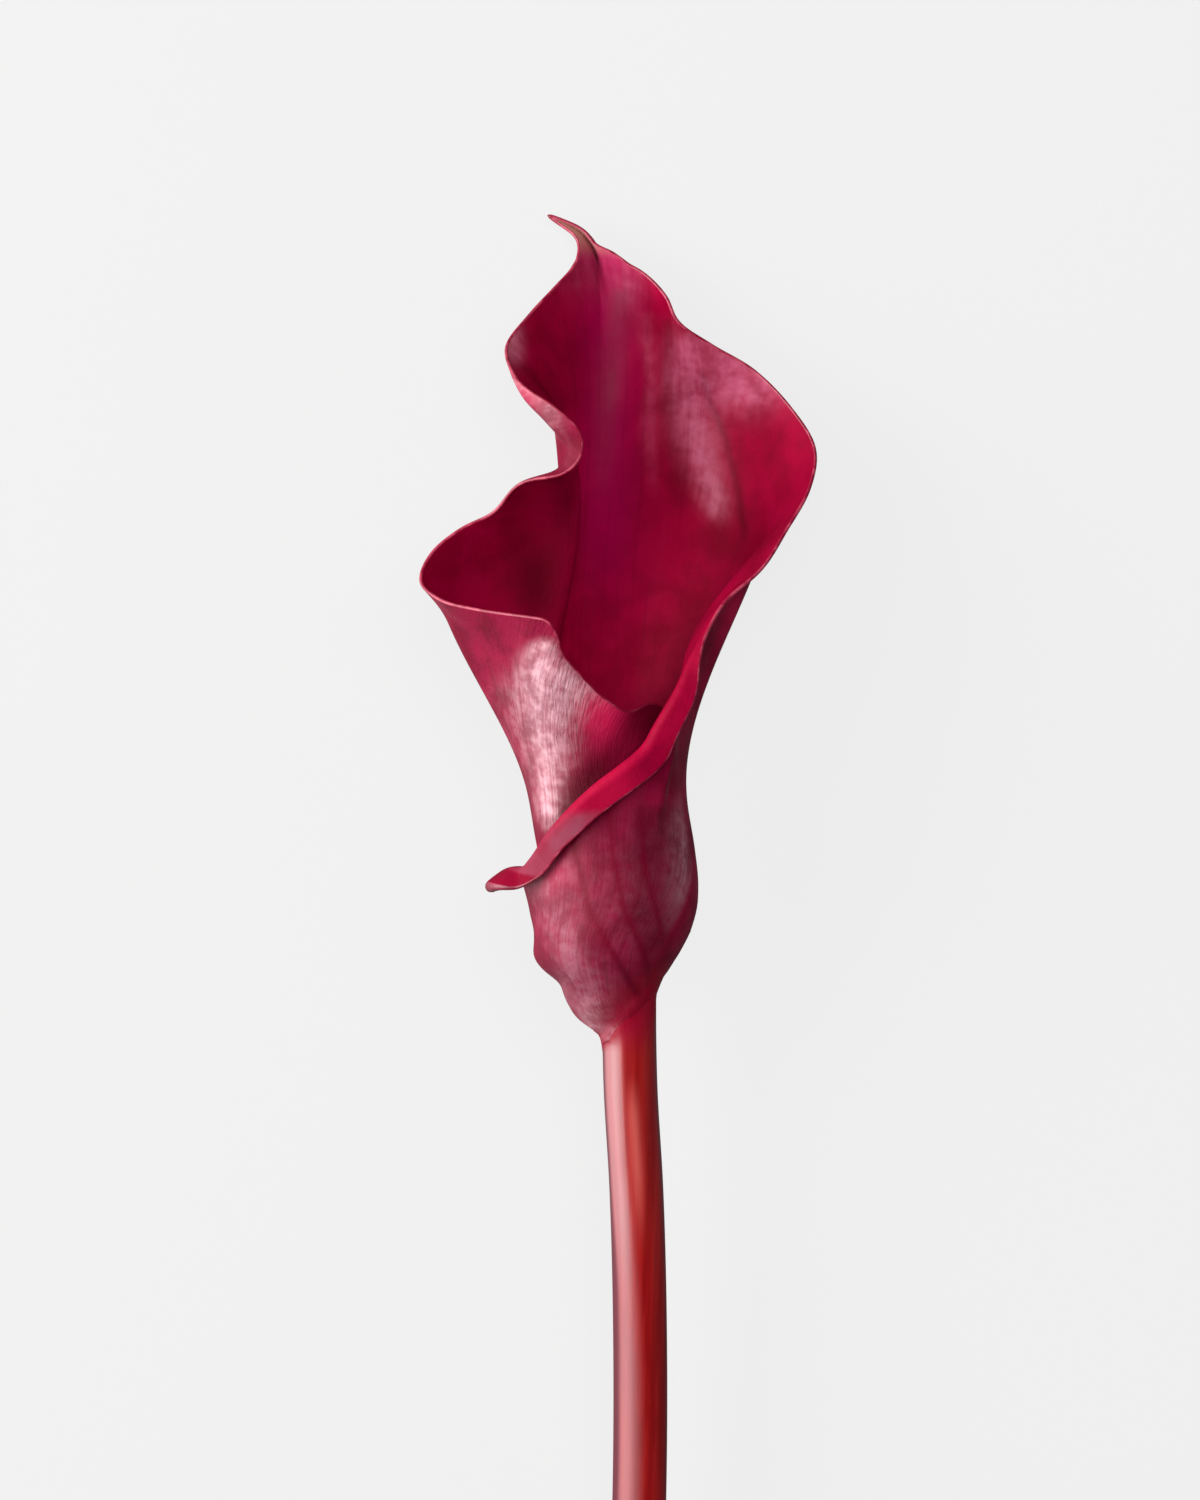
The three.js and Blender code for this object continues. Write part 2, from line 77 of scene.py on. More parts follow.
# %% Camera
PHOTO_WIDTH, PHOTO_HEIGHT = 1200, 1500
PIXEL = 0.15                      # millimetres
AXIS_PIXEL = (630.0, 1035.0)      # where the photograph shows the joint of stem and spathe
LENS, SENSOR = 500.0, 36.0        # millimetres
camera_data = bpy.data.cameras.new("camera")
camera_data.lens, camera_data.sensor_width = LENS, SENSOR
camera = bpy.data.objects.new("camera", camera_data)
scene.collection.objects.link(camera)
scene.camera = camera
middle = ((PHOTO_WIDTH / 2 - AXIS_PIXEL[0]) * PIXEL, (AXIS_PIXEL[1] - PHOTO_HEIGHT / 2) * PIXEL)
distance = PHOTO_HEIGHT * PIXEL * LENS / SENSOR
camera.location = Vector(to_frame((*middle, distance)))
print("camera at", [round(x, 3) for x in camera.location])

# %% [markdown]
# ## Small tools for materials
# A material is a network of nodes. These helpers add a node, feed its sockets with a number, a
# colour or another node's output, and wrap the few kinds that every material here is made of. The
# colours are written as they look on a screen, 0 to 255, and turned into light.

# %% Node helpers
def screen_color(red, green, blue):
    """A colour as a screen shows it -> linear light with alpha 1: c / 12.92 below 0.04045, and
    ((c + 0.055) / 1.055) to the power 2.4 above."""
    c = np.array([red, green, blue]) / 255
    linear = np.where(c <= 0.04045, c / 12.92, ((c + 0.055) / 1.055) ** 2.4)
    return (*linear.tolist(), 1.0)


def feed(tree, socket, source):
    """Put a value into a socket, or join another node's output to it."""
    if isinstance(source, bpy.types.NodeSocket):
        tree.links.new(source, socket)
    else:
        socket.default_value = source


def add_node(tree, kind, sources=(), **settings):
    """A node of a kind. sources says what its sockets are fed, by name or by number."""
    node = tree.nodes.new("ShaderNode" + kind)
    for key, value in settings.items():
        setattr(node, key, value)
    for key, source in dict(sources).items():
        feed(tree, node.inputs[key], source)
    return node


def calculate(tree, operation, *values):
    """A Math node. Returns its output."""
    return add_node(tree, "Math", enumerate(values), operation=operation).outputs[0]


def times(tree, a, b):
    """A Math node that multiplies."""
    return calculate(tree, "MULTIPLY", a, b)


def plus(tree, a, b):
    """A Math node that adds."""
    return calculate(tree, "ADD", a, b)


def ramp(tree, value, low, high, start=0.0, end=1.0):
    """A Map Range node, smoothly from start to end as the value goes from low to high."""
    sources = {"Value": value, "From Min": low, "From Max": high, "To Min": start, "To Max": end}
    return add_node(tree, "MapRange", sources, interpolation_type="SMOOTHSTEP").outputs["Result"]


def blend(tree, share, a, b):
    """A Mix node, whose sockets for colours are the inputs 6 and 7 and the output 2."""
    return add_node(tree, "Mix", {0: share, 6: a, 7: b}, data_type="RGBA").outputs[2]


def speckled(tree, value, low, high, dark, light):
    """A colour that goes from dark to light as a value goes from low to high."""
    return blend(tree, ramp(tree, value, low, high), screen_color(*dark), screen_color(*light))


def painted(tree, color, *layers):
    """Colours laid over one another. A layer is a mask, or the name of a stored one, its strength,
    and a colour as a screen shows it."""
    for mask, strength, over in layers:
        share = stored(tree, mask) if isinstance(mask, str) else mask
        share = share if strength == 1 else times(tree, share, strength)
        color = blend(tree, share, color, screen_color(*over))
    return color


def noise(tree, place, scale, detail=2.0, roughness=0.5):
    """A Noise Texture at a place. Returns its value, about 0.5 on average."""
    sources = {"Vector": place, "Scale": scale, "Detail": detail, "Roughness": roughness}
    return add_node(tree, "TexNoise", sources).outputs["Fac"]


def scaled(tree, place, factors):
    """A place times three factors, one for each direction."""
    return add_node(tree, "VectorMath", {0: place, 1: factors}, operation="MULTIPLY").outputs[0]


def joined(tree, x, y):
    """Two numbers as a vector that has 0 as its third."""
    return add_node(tree, "CombineXYZ", enumerate((x, y))).outputs[0]


def stored(tree, name):
    """The number that the mesh stores at its points under a name."""
    return add_node(tree, "Attribute", attribute_name=name).outputs["Fac"]


def object_place(tree):
    """Object coordinates in millimetres."""
    return scaled(tree, add_node(tree, "TexCoord").outputs["Object"], (1000.0, 1000.0, 1000.0))


def relief(tree, height, depth, strength=1.0):
    """A Bump node over a height. depth is in metres. Returns the normal."""
    sources = {"Height": height, "Distance": depth, "Strength": strength}
    return add_node(tree, "Bump", sources).outputs["Normal"]


def dress(tree, shader, **sources):
    """Feed the sockets of a shader, each named with _ for a space."""
    for key, source in sources.items():
        feed(tree, shader.inputs[key.replace("_", " ")], source)


def new_material(name, **plain):
    """A material with a Principled shader and its plain values. Returns it, the shader and the tree."""
    material = bpy.data.materials.new(name)
    material.use_nodes = True
    tree = material.node_tree
    shader = tree.nodes["Principled BSDF"]
    dress(tree, shader, **plain)
    return material, shader, tree


print("dark red of the spathe in light:", [round(x, 4) for x in screen_color(140, 4, 45)])

# %% [markdown]
# ## Table and light
# A pale table that glows a little keeps the shadow faint, as in front of a far white wall. One large
# soft lamp stands to the left, which gives the petals their broad satin highlights. A narrow one low
# on the right lights the side of the tube, and one above fills the inside. Those two light the
# flower but show in no highlight.

# %% Table
TABLE_HALF = 3.0                  # metres
table_mesh = bpy.data.meshes.new("table")
corners = [(x * TABLE_HALF, y * TABLE_HALF, 0) for x, y in ((-1, -1), (1, -1), (1, 1), (-1, 1))]
table_mesh.from_pydata(corners, [], [(0, 1, 2, 3)])
table = bpy.data.objects.new("table", table_mesh)
scene.collection.objects.link(table)
TABLE_GLOW = 0.80                 # as the camera sees it
SPILL_LEFT, SPILL_RIGHT = 1.2, 0.08     # as the flower sees it the table glows brighter on the lamp's side, a painted pool of its light
SPILL_ENDS = (-0.10, 0.0)         # X in metres between which the one turns into the other
table_material, shader, tree = new_material("table", Base_Color=(0.05, 0.05, 0.05, 1), Roughness=0.9,
                                            Specular_IOR_Level=0.0, Emission_Color=(1, 1, 1, 1))
table_x = add_node(tree, "SeparateXYZ", {0: add_node(tree, "TexCoord").outputs["Object"]}).outputs["X"]
spill = ramp(tree, table_x, *SPILL_ENDS, SPILL_LEFT, SPILL_RIGHT)
seen = add_node(tree, "LightPath").outputs["Is Camera Ray"]
unseen = calculate(tree, "SUBTRACT", 1.0, seen)
dress(tree, shader, Emission_Strength=plus(tree, times(tree, seen, TABLE_GLOW), times(tree, unseen, spill)))
table_mesh.materials.append(table_material)
print("table", 2 * TABLE_HALF, "m wide")

# %% Lamps
world = bpy.data.worlds.new("studio")
scene.world = world
world.use_nodes = True
background = world.node_tree.nodes["Background"]
background.inputs["Color"].default_value = (1.0, 1.0, 1.0, 1)
background.inputs["Strength"].default_value = 0.10
world.cycles_visibility.glossy = False


def lamp(name, place, aim, size, power, color=(1.0, 1.0, 1.0), mirrored=True):
    """A soft lamp at a place, turned to what it lights. Both are on the flower's axis, in mm. A lamp
    that isn't mirrored gives light but no highlight."""
    data = bpy.data.lights.new(name, "AREA")
    data.shape = "RECTANGLE"
    data.size, data.size_y = size
    data.energy = power
    data.color = color
    made = bpy.data.objects.new(name, data)
    scene.collection.objects.link(made)
    start, end = Vector(to_frame(place)), Vector(to_frame(aim))
    made.location = start
    made.rotation_euler = (end - start).to_track_quat("-Z", "Y").to_euler()
    made.visible_glossy = mirrored
    return made


lamp("key", (-670, 150, 350), (0, 40, 0), (0.85, 0.8), 15.5, (1.0, 0.98, 0.97))
lamp("edge", (600, -60, 90), (8, 20, 0), (0.10, 0.7), 0.9, (0.92, 0.96, 1.0), mirrored=False)
lamp("top", (120, 240, 800), (0, 40, 0), (0.45, 0.45), 4.6, mirrored=False)

# %% [markdown]
# ## Small tools for shapes
# Every surface below is a function of two parameters, worked out for whole arrays at once. These
# helpers are what such functions are made of: a smooth step, a rounded minimum, unit vectors, and a
# curve through a table of numbers.

# %% Array helpers
def ease(x):
    """0 up to 0, 1 from 1 on, and 3x^2 - 2x^3 between."""
    x = np.clip(x, 0, 1)
    return x * x * (3 - 2 * x)


def soft_min(a, b, width):
    """The smaller of two arrays, rounded off over a width where they are nearly the same."""
    return np.minimum(a, b) - width * np.log1p(np.exp(-np.abs(a - b) / width))


def bell(x, middle, width):
    """A bell curve: 1 at the middle, 0.37 one width away from it."""
    return np.exp(-(((x - middle) / width) ** 2))


def unit(v):
    """Vectors divided by their own length."""
    return v / np.maximum(np.linalg.norm(v, axis=-1, keepdims=True), 1e-12)


def calmed(values, width):
    """Rows of numbers averaged over their neighbours, weighted by a bell that is width rows wide.
    The ends are continued as they are."""
    reach = int(3 * width)
    weights = bell(np.arange(-reach, reach + 1), 0, width)
    padded = np.pad(values, [(reach, reach)] + [(0, 0)] * (values.ndim - 1), mode="edge")
    return sum(w * padded[k:k + len(values)] for k, w in enumerate(weights / weights.sum()))


def hermite(t, a, b, slope_a, slope_b, h):
    """The cubic that leaves a with one slope and reaches b with another, over a length h."""
    u = 1 - t
    ends = (1 + 2 * t) * u * u * a + t * u * u * h * slope_a
    return ends + t * t * (3 - 2 * t) * b - t * t * u * h * slope_b


def table_curve(places, rows, at):
    """A smooth curve through rows of numbers: between two places the cubic whose slopes are the mean
    of the steps on both sides, each weighted by the length of the other."""
    places, rows = np.asarray(places, float), np.asarray(rows, float)
    gaps = np.diff(places)[:, None]
    steps = np.diff(rows, axis=0) / gaps
    slopes = np.vstack([steps[:1], (steps[:-1] * gaps[1:] + steps[1:] * gaps[:-1]) / (gaps[1:] + gaps[:-1]),
                        steps[-1:]])
    at = np.asarray(at, float)
    i = np.clip(np.searchsorted(places, at, side="right") - 1, 0, len(places) - 2)
    h = (places[i + 1] - places[i])[..., None]
    t = (at - places[i])[..., None] / h
    return hermite(t, rows[i], rows[i + 1], slopes[i], slopes[i + 1], h)


print("ease(0.5) =", ease(0.5), " soft_min(1, 2, 0.1) =", round(float(soft_min(1.0, 2.0, 0.1)), 4))

# %% [markdown]
# ## From arrays to a mesh
# A grid of points becomes a mesh of squares. The squares are made from index arrays too, so even a
# hundred thousand of them take no loop. Each face gets its material by a number, and soft masks are
# stored at the points, which the materials read by name.

# %% Mesh helpers
def grid_faces(columns, rows, closed=False):
    """The squares of a columns x rows grid, as four indices each, facing out where the turn grows
    with the column and the height with the row. closed joins the last column to the first."""
    i = np.arange(columns if closed else columns - 1)[:, None]
    j = np.arange(rows - 1)[None, :]
    a = i * rows + j
    b = ((i + 1) % columns) * rows + j
    return np.stack([a, a + 1, b + 1, b], -1).reshape(-1, 4)


def tube_mesh(points):
    """The points and faces of a closed body of rings: the grid, and a fan at both ends to the middle
    of the end ring. points is columns x rows."""
    columns, rows = points.shape[:2]
    i = np.arange(columns)
    after = (i + 1) % columns
    first, last = columns * rows, columns * rows + 1
    low_fan = np.stack([i * rows, after * rows, first + 0 * i, first + 0 * i], -1)
    top_fan = np.stack([after * rows + rows - 1, i * rows + rows - 1, last + 0 * i, last + 0 * i], -1)
    all_points = np.concatenate([points.reshape(-1, 3), [points[:, 0].mean(0), points[:, -1].mean(0)]])
    return all_points, np.concatenate([grid_faces(columns, rows, closed=True), low_fan, top_fan])


def build(name, points, faces, materials, face_material, masks):
    """A mesh object at the origin, from points in millimetres, faces of four indices (where the last
    two are the same it is a triangle), the number of each face's material, or one for all of them,
    and masks, a dict of one number for every point."""
    mesh = bpy.data.meshes.new(name)
    place = to_frame(points)
    triangle = faces[:, 3] == faces[:, 2]
    used = np.ones(faces.shape, bool)
    used[:, 3] = ~triangle
    sizes = used.sum(1)
    mesh.vertices.add(len(place))
    mesh.vertices.foreach_set("co", place.astype(np.float32).ravel())
    mesh.loops.add(int(sizes.sum()))
    mesh.loops.foreach_set("vertex_index", faces[used].astype(np.int32))
    mesh.polygons.add(len(faces))
    mesh.polygons.foreach_set("loop_start", np.r_[0, np.cumsum(sizes)[:-1]].astype(np.int32))
    for material in materials:
        mesh.materials.append(material)
    material_numbers = np.broadcast_to(face_material, len(faces)).astype(np.int32)
    mesh.polygons.foreach_set("material_index", material_numbers)
    mesh.update(calc_edges=True)
    mesh.polygons.foreach_set("use_smooth", np.ones(len(mesh.polygons), bool))
    for key, values in masks.items():
        stored_values = mesh.attributes.new(key, "FLOAT", "POINT").data
        stored_values.foreach_set("value", values.astype(np.float32).ravel())
    made = bpy.data.objects.new(name, mesh)
    scene.collection.objects.link(made)
    a, b, c, d = np.moveaxis(points[faces], 1, 0)
    volume = ((np.cross(a, b) * c).sum() + (np.cross(a, c) * d).sum()) / 6
    print(name, len(mesh.vertices), "points,", len(faces), "faces,", round(float(volume)), "mm3")
    return made


# %% [markdown]
# ## The tube of the spathe
# Low down, the spathe is a leaf rolled round the spadix, a little over one turn, so that its right
# edge lies over its left one on the front. A section of it is an oval whose radius grows slowly with
# the turn, as a paper scroll does. It swells just above the stem, narrows at the waist, and sits on
# a slanting ring, lower on the left. On the left the swelling makes two soft steps.

# %% The tube
# height, left edge, right edge, depth in front of the axis, depth behind it
TUBE = [
    (0, -4.45, 4.35, 4.4, 4.4), (0.7, -5.3, 4.6, 4.5, 4.5), (2, -6.5, 5.1, 4.75, 4.8),
    (4.5, -8, 6, 6, 6.1), (6.6, -9.2, 6.8, 7.5, 7.5), (8.4, -10.5, 7.4, 8.7, 8.6),
    (10, -11.6, 7.9, 9.6, 9.4), (12, -12.5, 8.5, 10.4, 10.2), (14.5, -13, 9, 11, 10.9),
    (18.5, -13, 9.6, 11.5, 11.6), (23, -13.5, 9.8, 11.9, 12), (28, -14.6, 9.3, 12, 12),
    (35, -15.8, 8.2, 12.2, 12), (45, -17.1, 7.9, 12.8, 13),
]
# lumps on the left of the swelling: turn, height, reach in turn, reach in height, how far it stands out
LUMPS = [(92, 11.6, 28, 2.0, 0.8), (92, 7.9, 28, 1.5, -0.9)]
OBLIQUE = 8.4          # the base ring is this much higher on the right than on the left
WRAP_PITCH = 2.2       # how far the sheet moves outwards in one turn
SEAM_OPENS = 4.0       # height over which the layers of the wrap separate
FAN_HEIGHT = 20.0      # the ribs fan out, and the slant of the ring dies out, up to this height
FLARE, FLARE_HEIGHT = 0.3, 3.0     # how much wider the stem gets up to the ring, and over what height
FOOT_SINKS = 0.2       # the foot ends this far inside the skin of the stem
SKIRT_LEFT, SKIRT_RIGHT = 1.6, 3.4     # how far the leaf's foot lies on the stem below the ring


def base_height(turn):
    """Half the slant times (1 - sine of the turn): lowest on the left, at 90 degrees."""
    return OBLIQUE / 2 * (1 - np.sin(np.radians(turn)))


def foot_height(turn):
    """Where the leaf ends on the stem: below the ring by a skirt that is longest on the right."""
    right = 0.5 - 0.5 * np.sin(np.radians(turn))
    return base_height(turn) - SKIRT_LEFT - (SKIRT_RIGHT - SKIRT_LEFT) * right


def around(turn):
    """The direction away from the axis at a turn: 0 is the front, 90 the left."""
    return np.stack([-np.sin(np.radians(turn)), 0 * turn, np.cos(np.radians(turn))], -1)


def tube_point(turn, y):
    """A point of the tube: middle of the oval, less width times sine of the turn across, and depth
    times its cosine towards the front. The scroll and the lumps add the same to both, and below
    the ring the foot narrows with the stem. 0 is the front, 90 the left."""
    base = base_height(turn)
    height = np.maximum(np.where(y < FAN_HEIGHT, (y - base) / (1 - base / FAN_HEIGHT), y), 0)
    ovals = table_curve([row[0] for row in TUBE], [row[1:] for row in TUBE], height)
    left, right, front, back = np.moveaxis(ovals, -1, 0)
    spiral = WRAP_PITCH * (turn - 270) / 360 * ease(height / SEAM_OPENS)
    for lump_turn, lump_height, turn_reach, height_reach, size in LUMPS:
        near_turn = bell((turn - lump_turn + 180) % 360, 180, turn_reach)
        spiral = spiral + size * near_turn * bell(height, lump_height, height_reach)
    spiral = spiral - (FLARE + FOOT_SINKS) * (1 - ease((y - base) / FLARE_HEIGHT + 1))
    ahead = np.cos(np.radians(turn))
    depth = front * (0.5 + 0.5 * ahead) + back * (0.5 - 0.5 * ahead)
    width = (right - left) / 2 + spiral
    across = (left + right) / 2 - width * np.sin(np.radians(turn))
    return np.stack([across, y, (depth + spiral) * ahead], -1)


print("tube at height 18.5, front:", tube_point(np.array(360.0), np.array(18.5)).round(2))

# %% [markdown]
# ## The rim of the spathe
# Higher up the leaf leaves the tube and opens. Its rim is what gives the flower its looks: the low
# corner tucked inside, the crest at the front, the lobe on the left, the pinch above it, the bulge
# and the drawn-out tip, the large lobe on the right, and then the free margin that winds down across
# the front to the small ear on the left. Each station below is the end of one rib of the leaf: its
# turn round the flower, its point on the rim, a shoulder that it passes on its way, and the length
# and the angle of the lip that is rolled beyond the rim, outwards, or inwards where it is negative.

# %% Stations of the rim
# turn, X, Y, Z of the rim, X, Y, Z of the shoulder, and where there is a lip, its length and angle
MOUTH = [
    (-58, 6.6, 47.2, 4.6, 5.6, 42, 4.8), (-36, 5.1, 49, 7.5, 3.8, 43.5, 7.4),
    (-20, 3, 49.6, 9.4, 1.5, 43.5, 9.2), (-6, -0.4, 48.4, 11.6, -2.7, 42.8, 10.8),
    (6, -4.2, 50.6, 13.6, -5.8, 44.2, 12), (15, -7.6, 54, 16.2, -8.6, 46.8, 13.4),
    (23, -9.9, 56.8, 18, -10.8, 49.4, 14.4), (30, -11, 59.8, 19.2, -12.4, 51.8, 14.8),
    (34, -12.4, 61.9, 19.6, -13.8, 53.4, 14.4), (39, -14.8, 62.5, 18.6, -15.6, 54.4, 13.2),
    (46, -17.8, 62.9, 16.4, -16.9, 55.3, 11.4), (56, -22.9, 63.7, 12.8, -19.9, 56.6, 8.8),
    (67, -28.4, 65.2, 9, -23.9, 59, 5.6), (78, -31.3, 68, 6, -26.9, 61.6, 3.4),
    (86, -29.8, 72.1, 3.5, -26.4, 64, 0), (93, -25.4, 75.8, 2.5, -23, 67.2, -3),
    (99, -20.4, 78.2, 3, -17.4, 71, -4, 0.3, -10), (105, -16.4, 82.4, 5, -13.8, 74, -4.2, 1, -30),
    (111, -10.5, 84.8, 6.6, -9.4, 76.8, -3.6, 2.2, -60), (117, -9.4, 88, 7.2, -7.9, 80.4, -3.4, 3.1, -80),
    (123, -12.3, 91.8, 6.2, -7.9, 84, -4, 3, -80), (129, -15.6, 95.4, 3.8, -8.5, 87.6, -5.6, 2.2, -60),
    (135, -17.6, 99.4, 1, -10.1, 90.6, -7.7, 1, -30),
    (142, -18.3, 103.3, -3, -11.3, 92.4, -10.2, 0.3, -10), (150, -15.2, 108, -7.5, -10.4, 96, -12.8),
    (159, -11.4, 112.2, -11, -8.4, 99, -15), (167, -8.7, 115.3, -13.4, -6.6, 102, -16.5),
    (171.5, -7.5, 118, -14.6, -5.5, 103.5, -17.3), (175, -6.4, 120.8, -15.8, -4.8, 104.5, -17.9),
    (178, -5.7, 126.4, -17.2, -4.2, 105, -18.3), (181, -4.85, 121.2, -15.8, -3.5, 105, -18.6),
    (185, -4.5, 118.6, -14.9, -2.5, 104, -18.9), (192, -2, 116.8, -14.6, -0.8, 103, -19.3),
    (201, 2.1, 114.5, -13.6, 2, 101, -19.6), (210, 5.4, 111, -12, 5.1, 96.8, -19.6),
    (218, 7.2, 107.3, -11.5, 8.1, 93.8, -19), (227, 12.3, 103.7, -12.5, 11.4, 89.3, -18.2),
    (236, 18.6, 99.9, -12, 15, 85.5, -16.8), (245, 24.2, 94.1, -9, 18.3, 81, -14.2),
    (254, 27.7, 88.1, -5.5, 19.8, 75.8, -10.5), (262, 26.9, 82, -1, 18.8, 70.5, -6),
    (271, 23.3, 75.5, 3.5, 14.9, 66.5, -1.5), (281, 19.7, 69.9, 7.5, 10.9, 61.5, 3.5),
    (291, 13.8, 64.6, 10, 8.5, 57, 7, 0.4, 10), (301, 10.9, 60, 12, 7.9, 53, 9.5, 0.9, 35),
    (310, 8.6, 55.6, 13.6, 7.1, 49.5, 11.3, 2.4, 80), (319, 6.3, 50, 14.4, 6.4, 44, 12.4, 4.6, 150),
]
# where the free margin lies on the tube: turn, height, how far it stands off, length and angle of its lip
FREE_MARGIN = [
    (330, 43.6, 2.0, 5.8, 180), (347, 39.6, 1.0, 5.8, 185), (362, 36.9, 0.5, 5.8, 188),
    (375, 34.4, 0.3, 5.6, 188), (394, 30.7, 0.2, 5.4, 185), (418, 26.1, 0.2, 5.2, 178),
    (431, 24.3, 0.5, 5.4, 150), (438, 23.8, 1.0, 6.5, 124), (446, 23.3, 1.4, 6.6, 112),
]


def margin_station(turn, height, lift, length, angle):
    """The station of a rib whose rim lies on the tube, lifted off it by a little."""
    below = np.array(max(height - 5, 0.8 * height))
    rim = tube_point(np.array(turn), np.array(height)) + lift * around(turn)
    shoulder = tube_point(np.array(turn), below) + lift / 2 * around(turn)
    return (turn, *rim, *shoulder, length, angle)


mouth_stations = [(*row, 0, 0)[:9] for row in MOUTH]
stations = np.array(mouth_stations + [margin_station(*row) for row in FREE_MARGIN], float)
steps = np.sqrt(np.linalg.norm(np.diff(stations[:, 1:4], axis=0), axis=1))
station_places = np.r_[0, np.cumsum(steps)] / steps.sum()
print(len(stations), "stations, turns", stations[0, 0], "to", stations[-1, 0])

# %% [markdown]
# ## The ribs
# A rib starts on the base ring, runs up the tube, leaves it, passes its shoulder and ends at the
# rim, and the lip goes on as an arc and a short straight. All ribs start side by side on the ring
# and fan out to their own turn as they rise. Both parameters stay arrays: which rib, and how far
# along it.

# %% The rolled lip
LIP_BEND = 0.55             # share of the lip that is bent; the rest is straight
RIM_NUDGE = 0.003           # step along the rim over which its direction is measured
SMALLEST = 1e-6             # in place of a bend of nothing, so that it can be divided


def rim_at(place):
    """Points of the rim at places from 0 to 1 along it."""
    return table_curve(station_places, stations, np.clip(place, 0, 1))[:, 1:4]


def rolled_lip(u, rim, rim_slope, lip, angle, past):
    """Beyond the rim, a rib goes on in the plane square to the rim: on an arc over the bent share of
    the lip, until it has turned by the angle, and then straight. past is the distance beyond."""
    along_rim = unit(rim_at(u + RIM_NUDGE) - rim_at(u - RIM_NUDGE))
    beyond = unit(rim_slope - (rim_slope * along_rim).sum(1)[:, None] * along_rim)
    outward = np.cross(beyond, along_rim)
    bend = LIP_BEND * lip
    radius = np.where(bend < SMALLEST, SMALLEST, bend) / angle
    phi = np.clip(past, 0, bend) / radius
    straight = np.clip(past - bend, 0, None)
    ahead = radius * np.sin(phi) + straight * np.cos(angle)
    aside = radius * (1 - np.cos(phi)) + straight * np.sin(angle)
    return rim[:, None, :] + ahead[..., None] * beyond[:, None, :] + aside[..., None] * outward[:, None, :]


print("the lip is bent over", LIP_BEND, "of its length")

# %% The sheet's middle surface
TUBE_TOP = 33.0             # height at which the ribs at the back leave the tube
BASE_FIRST, BASE_LAST = 80.0, 436.0     # turns of the first and the last rib on the ring
FAN_START = 2.0             # height above the ring at which the ribs start to fan out
TUBE_STRETCH = 1.15         # a rib on the tube is this much longer than it is high
TUBE_NUDGE = 0.4            # step of height over which its direction is measured
SHOULDER_LEAN = 0.35        # how far the slope there leans from the way in to the way out
SHOULDER_CALM = 0.035       # share of the sheet's width over which neighbouring ribs share their slope
LEAVE_SHARE = 0.6           # share of a low rib's height at which it leaves the tube
LEAST_ANGLE = 0.02          # radians that even a straight lip turns by
LIP_BAND, BAND_SHARE = 6.5, 0.45        # the last rows lie closer, over this length or this share


def sheet(columns, body_rows, band_rows):
    """The middle surface of the spathe, columns x rows. Along a rib: the tube at first, then one
    cubic to the shoulder and one to the rim, then the lip. Returns the points, the turn of each
    rib, and the distance of each point from the base and from the end of its rib."""
    u = np.linspace(0, 1, columns)
    row = table_curve(station_places, stations, u)
    turn, rim, shoulder, lip, angle = np.split(row, [1, 4, 7, 8], axis=1)
    lip, angle = np.maximum(lip, 0), np.radians(angle)
    angle = np.where(np.abs(angle) < LEAST_ANGLE, LEAST_ANGLE, angle)
    base_turn = BASE_FIRST + (turn - turn[0]) / (turn[-1] - turn[0]) * (BASE_LAST - BASE_FIRST)
    base = foot_height(base_turn)
    leave = np.maximum(soft_min(TUBE_TOP, LEAVE_SHARE * rim[:, 1:2] + 1, 1.2), base + 0.2)

    def on_tube(y):
        gathered = 1 - ease((y - base_height(base_turn) - FAN_START) / FAN_HEIGHT)
        return tube_point(turn + (base_turn - turn) * gathered, y)

    start = on_tube(leave)[:, 0]
    start_slope = unit(on_tube(leave + TUBE_NUDGE)[:, 0] - on_tube(leave - TUBE_NUDGE)[:, 0])
    low = TUBE_STRETCH * (leave - base)
    mid = np.linalg.norm(shoulder - start, axis=1, keepdims=True)
    top = np.linalg.norm(rim - shoulder, axis=1, keepdims=True)
    mid_way, top_way = (shoulder - start) / mid, (rim - shoulder) / top
    shoulder_slope = unit(calmed(mid_way + (top_way - mid_way) * SHOULDER_LEAN, SHOULDER_CALM * columns))
    rim_slope = unit(1.5 * top_way - 0.5 * shoulder_slope)

    length = low + mid + top + lip
    band = np.minimum(LIP_BAND, BAND_SHARE * length)
    j = np.arange(body_rows + band_rows + 1)
    s = np.where(j <= body_rows, (length - band) * (j / body_rows),
                 (length - band) + band * ((j - body_rows) / band_rows))

    points = on_tube(np.minimum(base + s / low * (leave - base), leave))
    to_shoulder = hermite(np.clip((s - low) / mid, 0, 1)[..., None], start[:, None], shoulder[:, None],
                          start_slope[:, None], shoulder_slope[:, None], mid[..., None])
    to_rim = hermite(np.clip((s - (low + mid)) / top, 0, 1)[..., None], shoulder[:, None], rim[:, None],
                     shoulder_slope[:, None], rim_slope[:, None], top[..., None])
    past = s - (low + mid + top)
    points = np.where((s > low)[..., None], to_shoulder, points)
    points = np.where((s > low + mid)[..., None], to_rim, points)
    points = np.where((past > 0)[..., None], rolled_lip(u, rim, rim_slope, lip, angle, past), points)
    return points, turn[:, 0], s, length - s


COLUMNS, BODY_ROWS, BAND_ROWS = 420, 72, 26
middle_sheet, turns, from_base, from_rim = sheet(COLUMNS, BODY_ROWS, BAND_ROWS)
print("sheet", middle_sheet.shape, "reaches y =", middle_sheet[..., 1].max().round(1))

# %% [markdown]
# ## The tail and the flat of the back
# The tip is drawn out into a thin tail that curls over to the left. The sheet is made with the tail
# straight, and what lies above its root is then bent round an arc, as a wire is bent over a finger.
# The back lies flat where it would pass through the table.

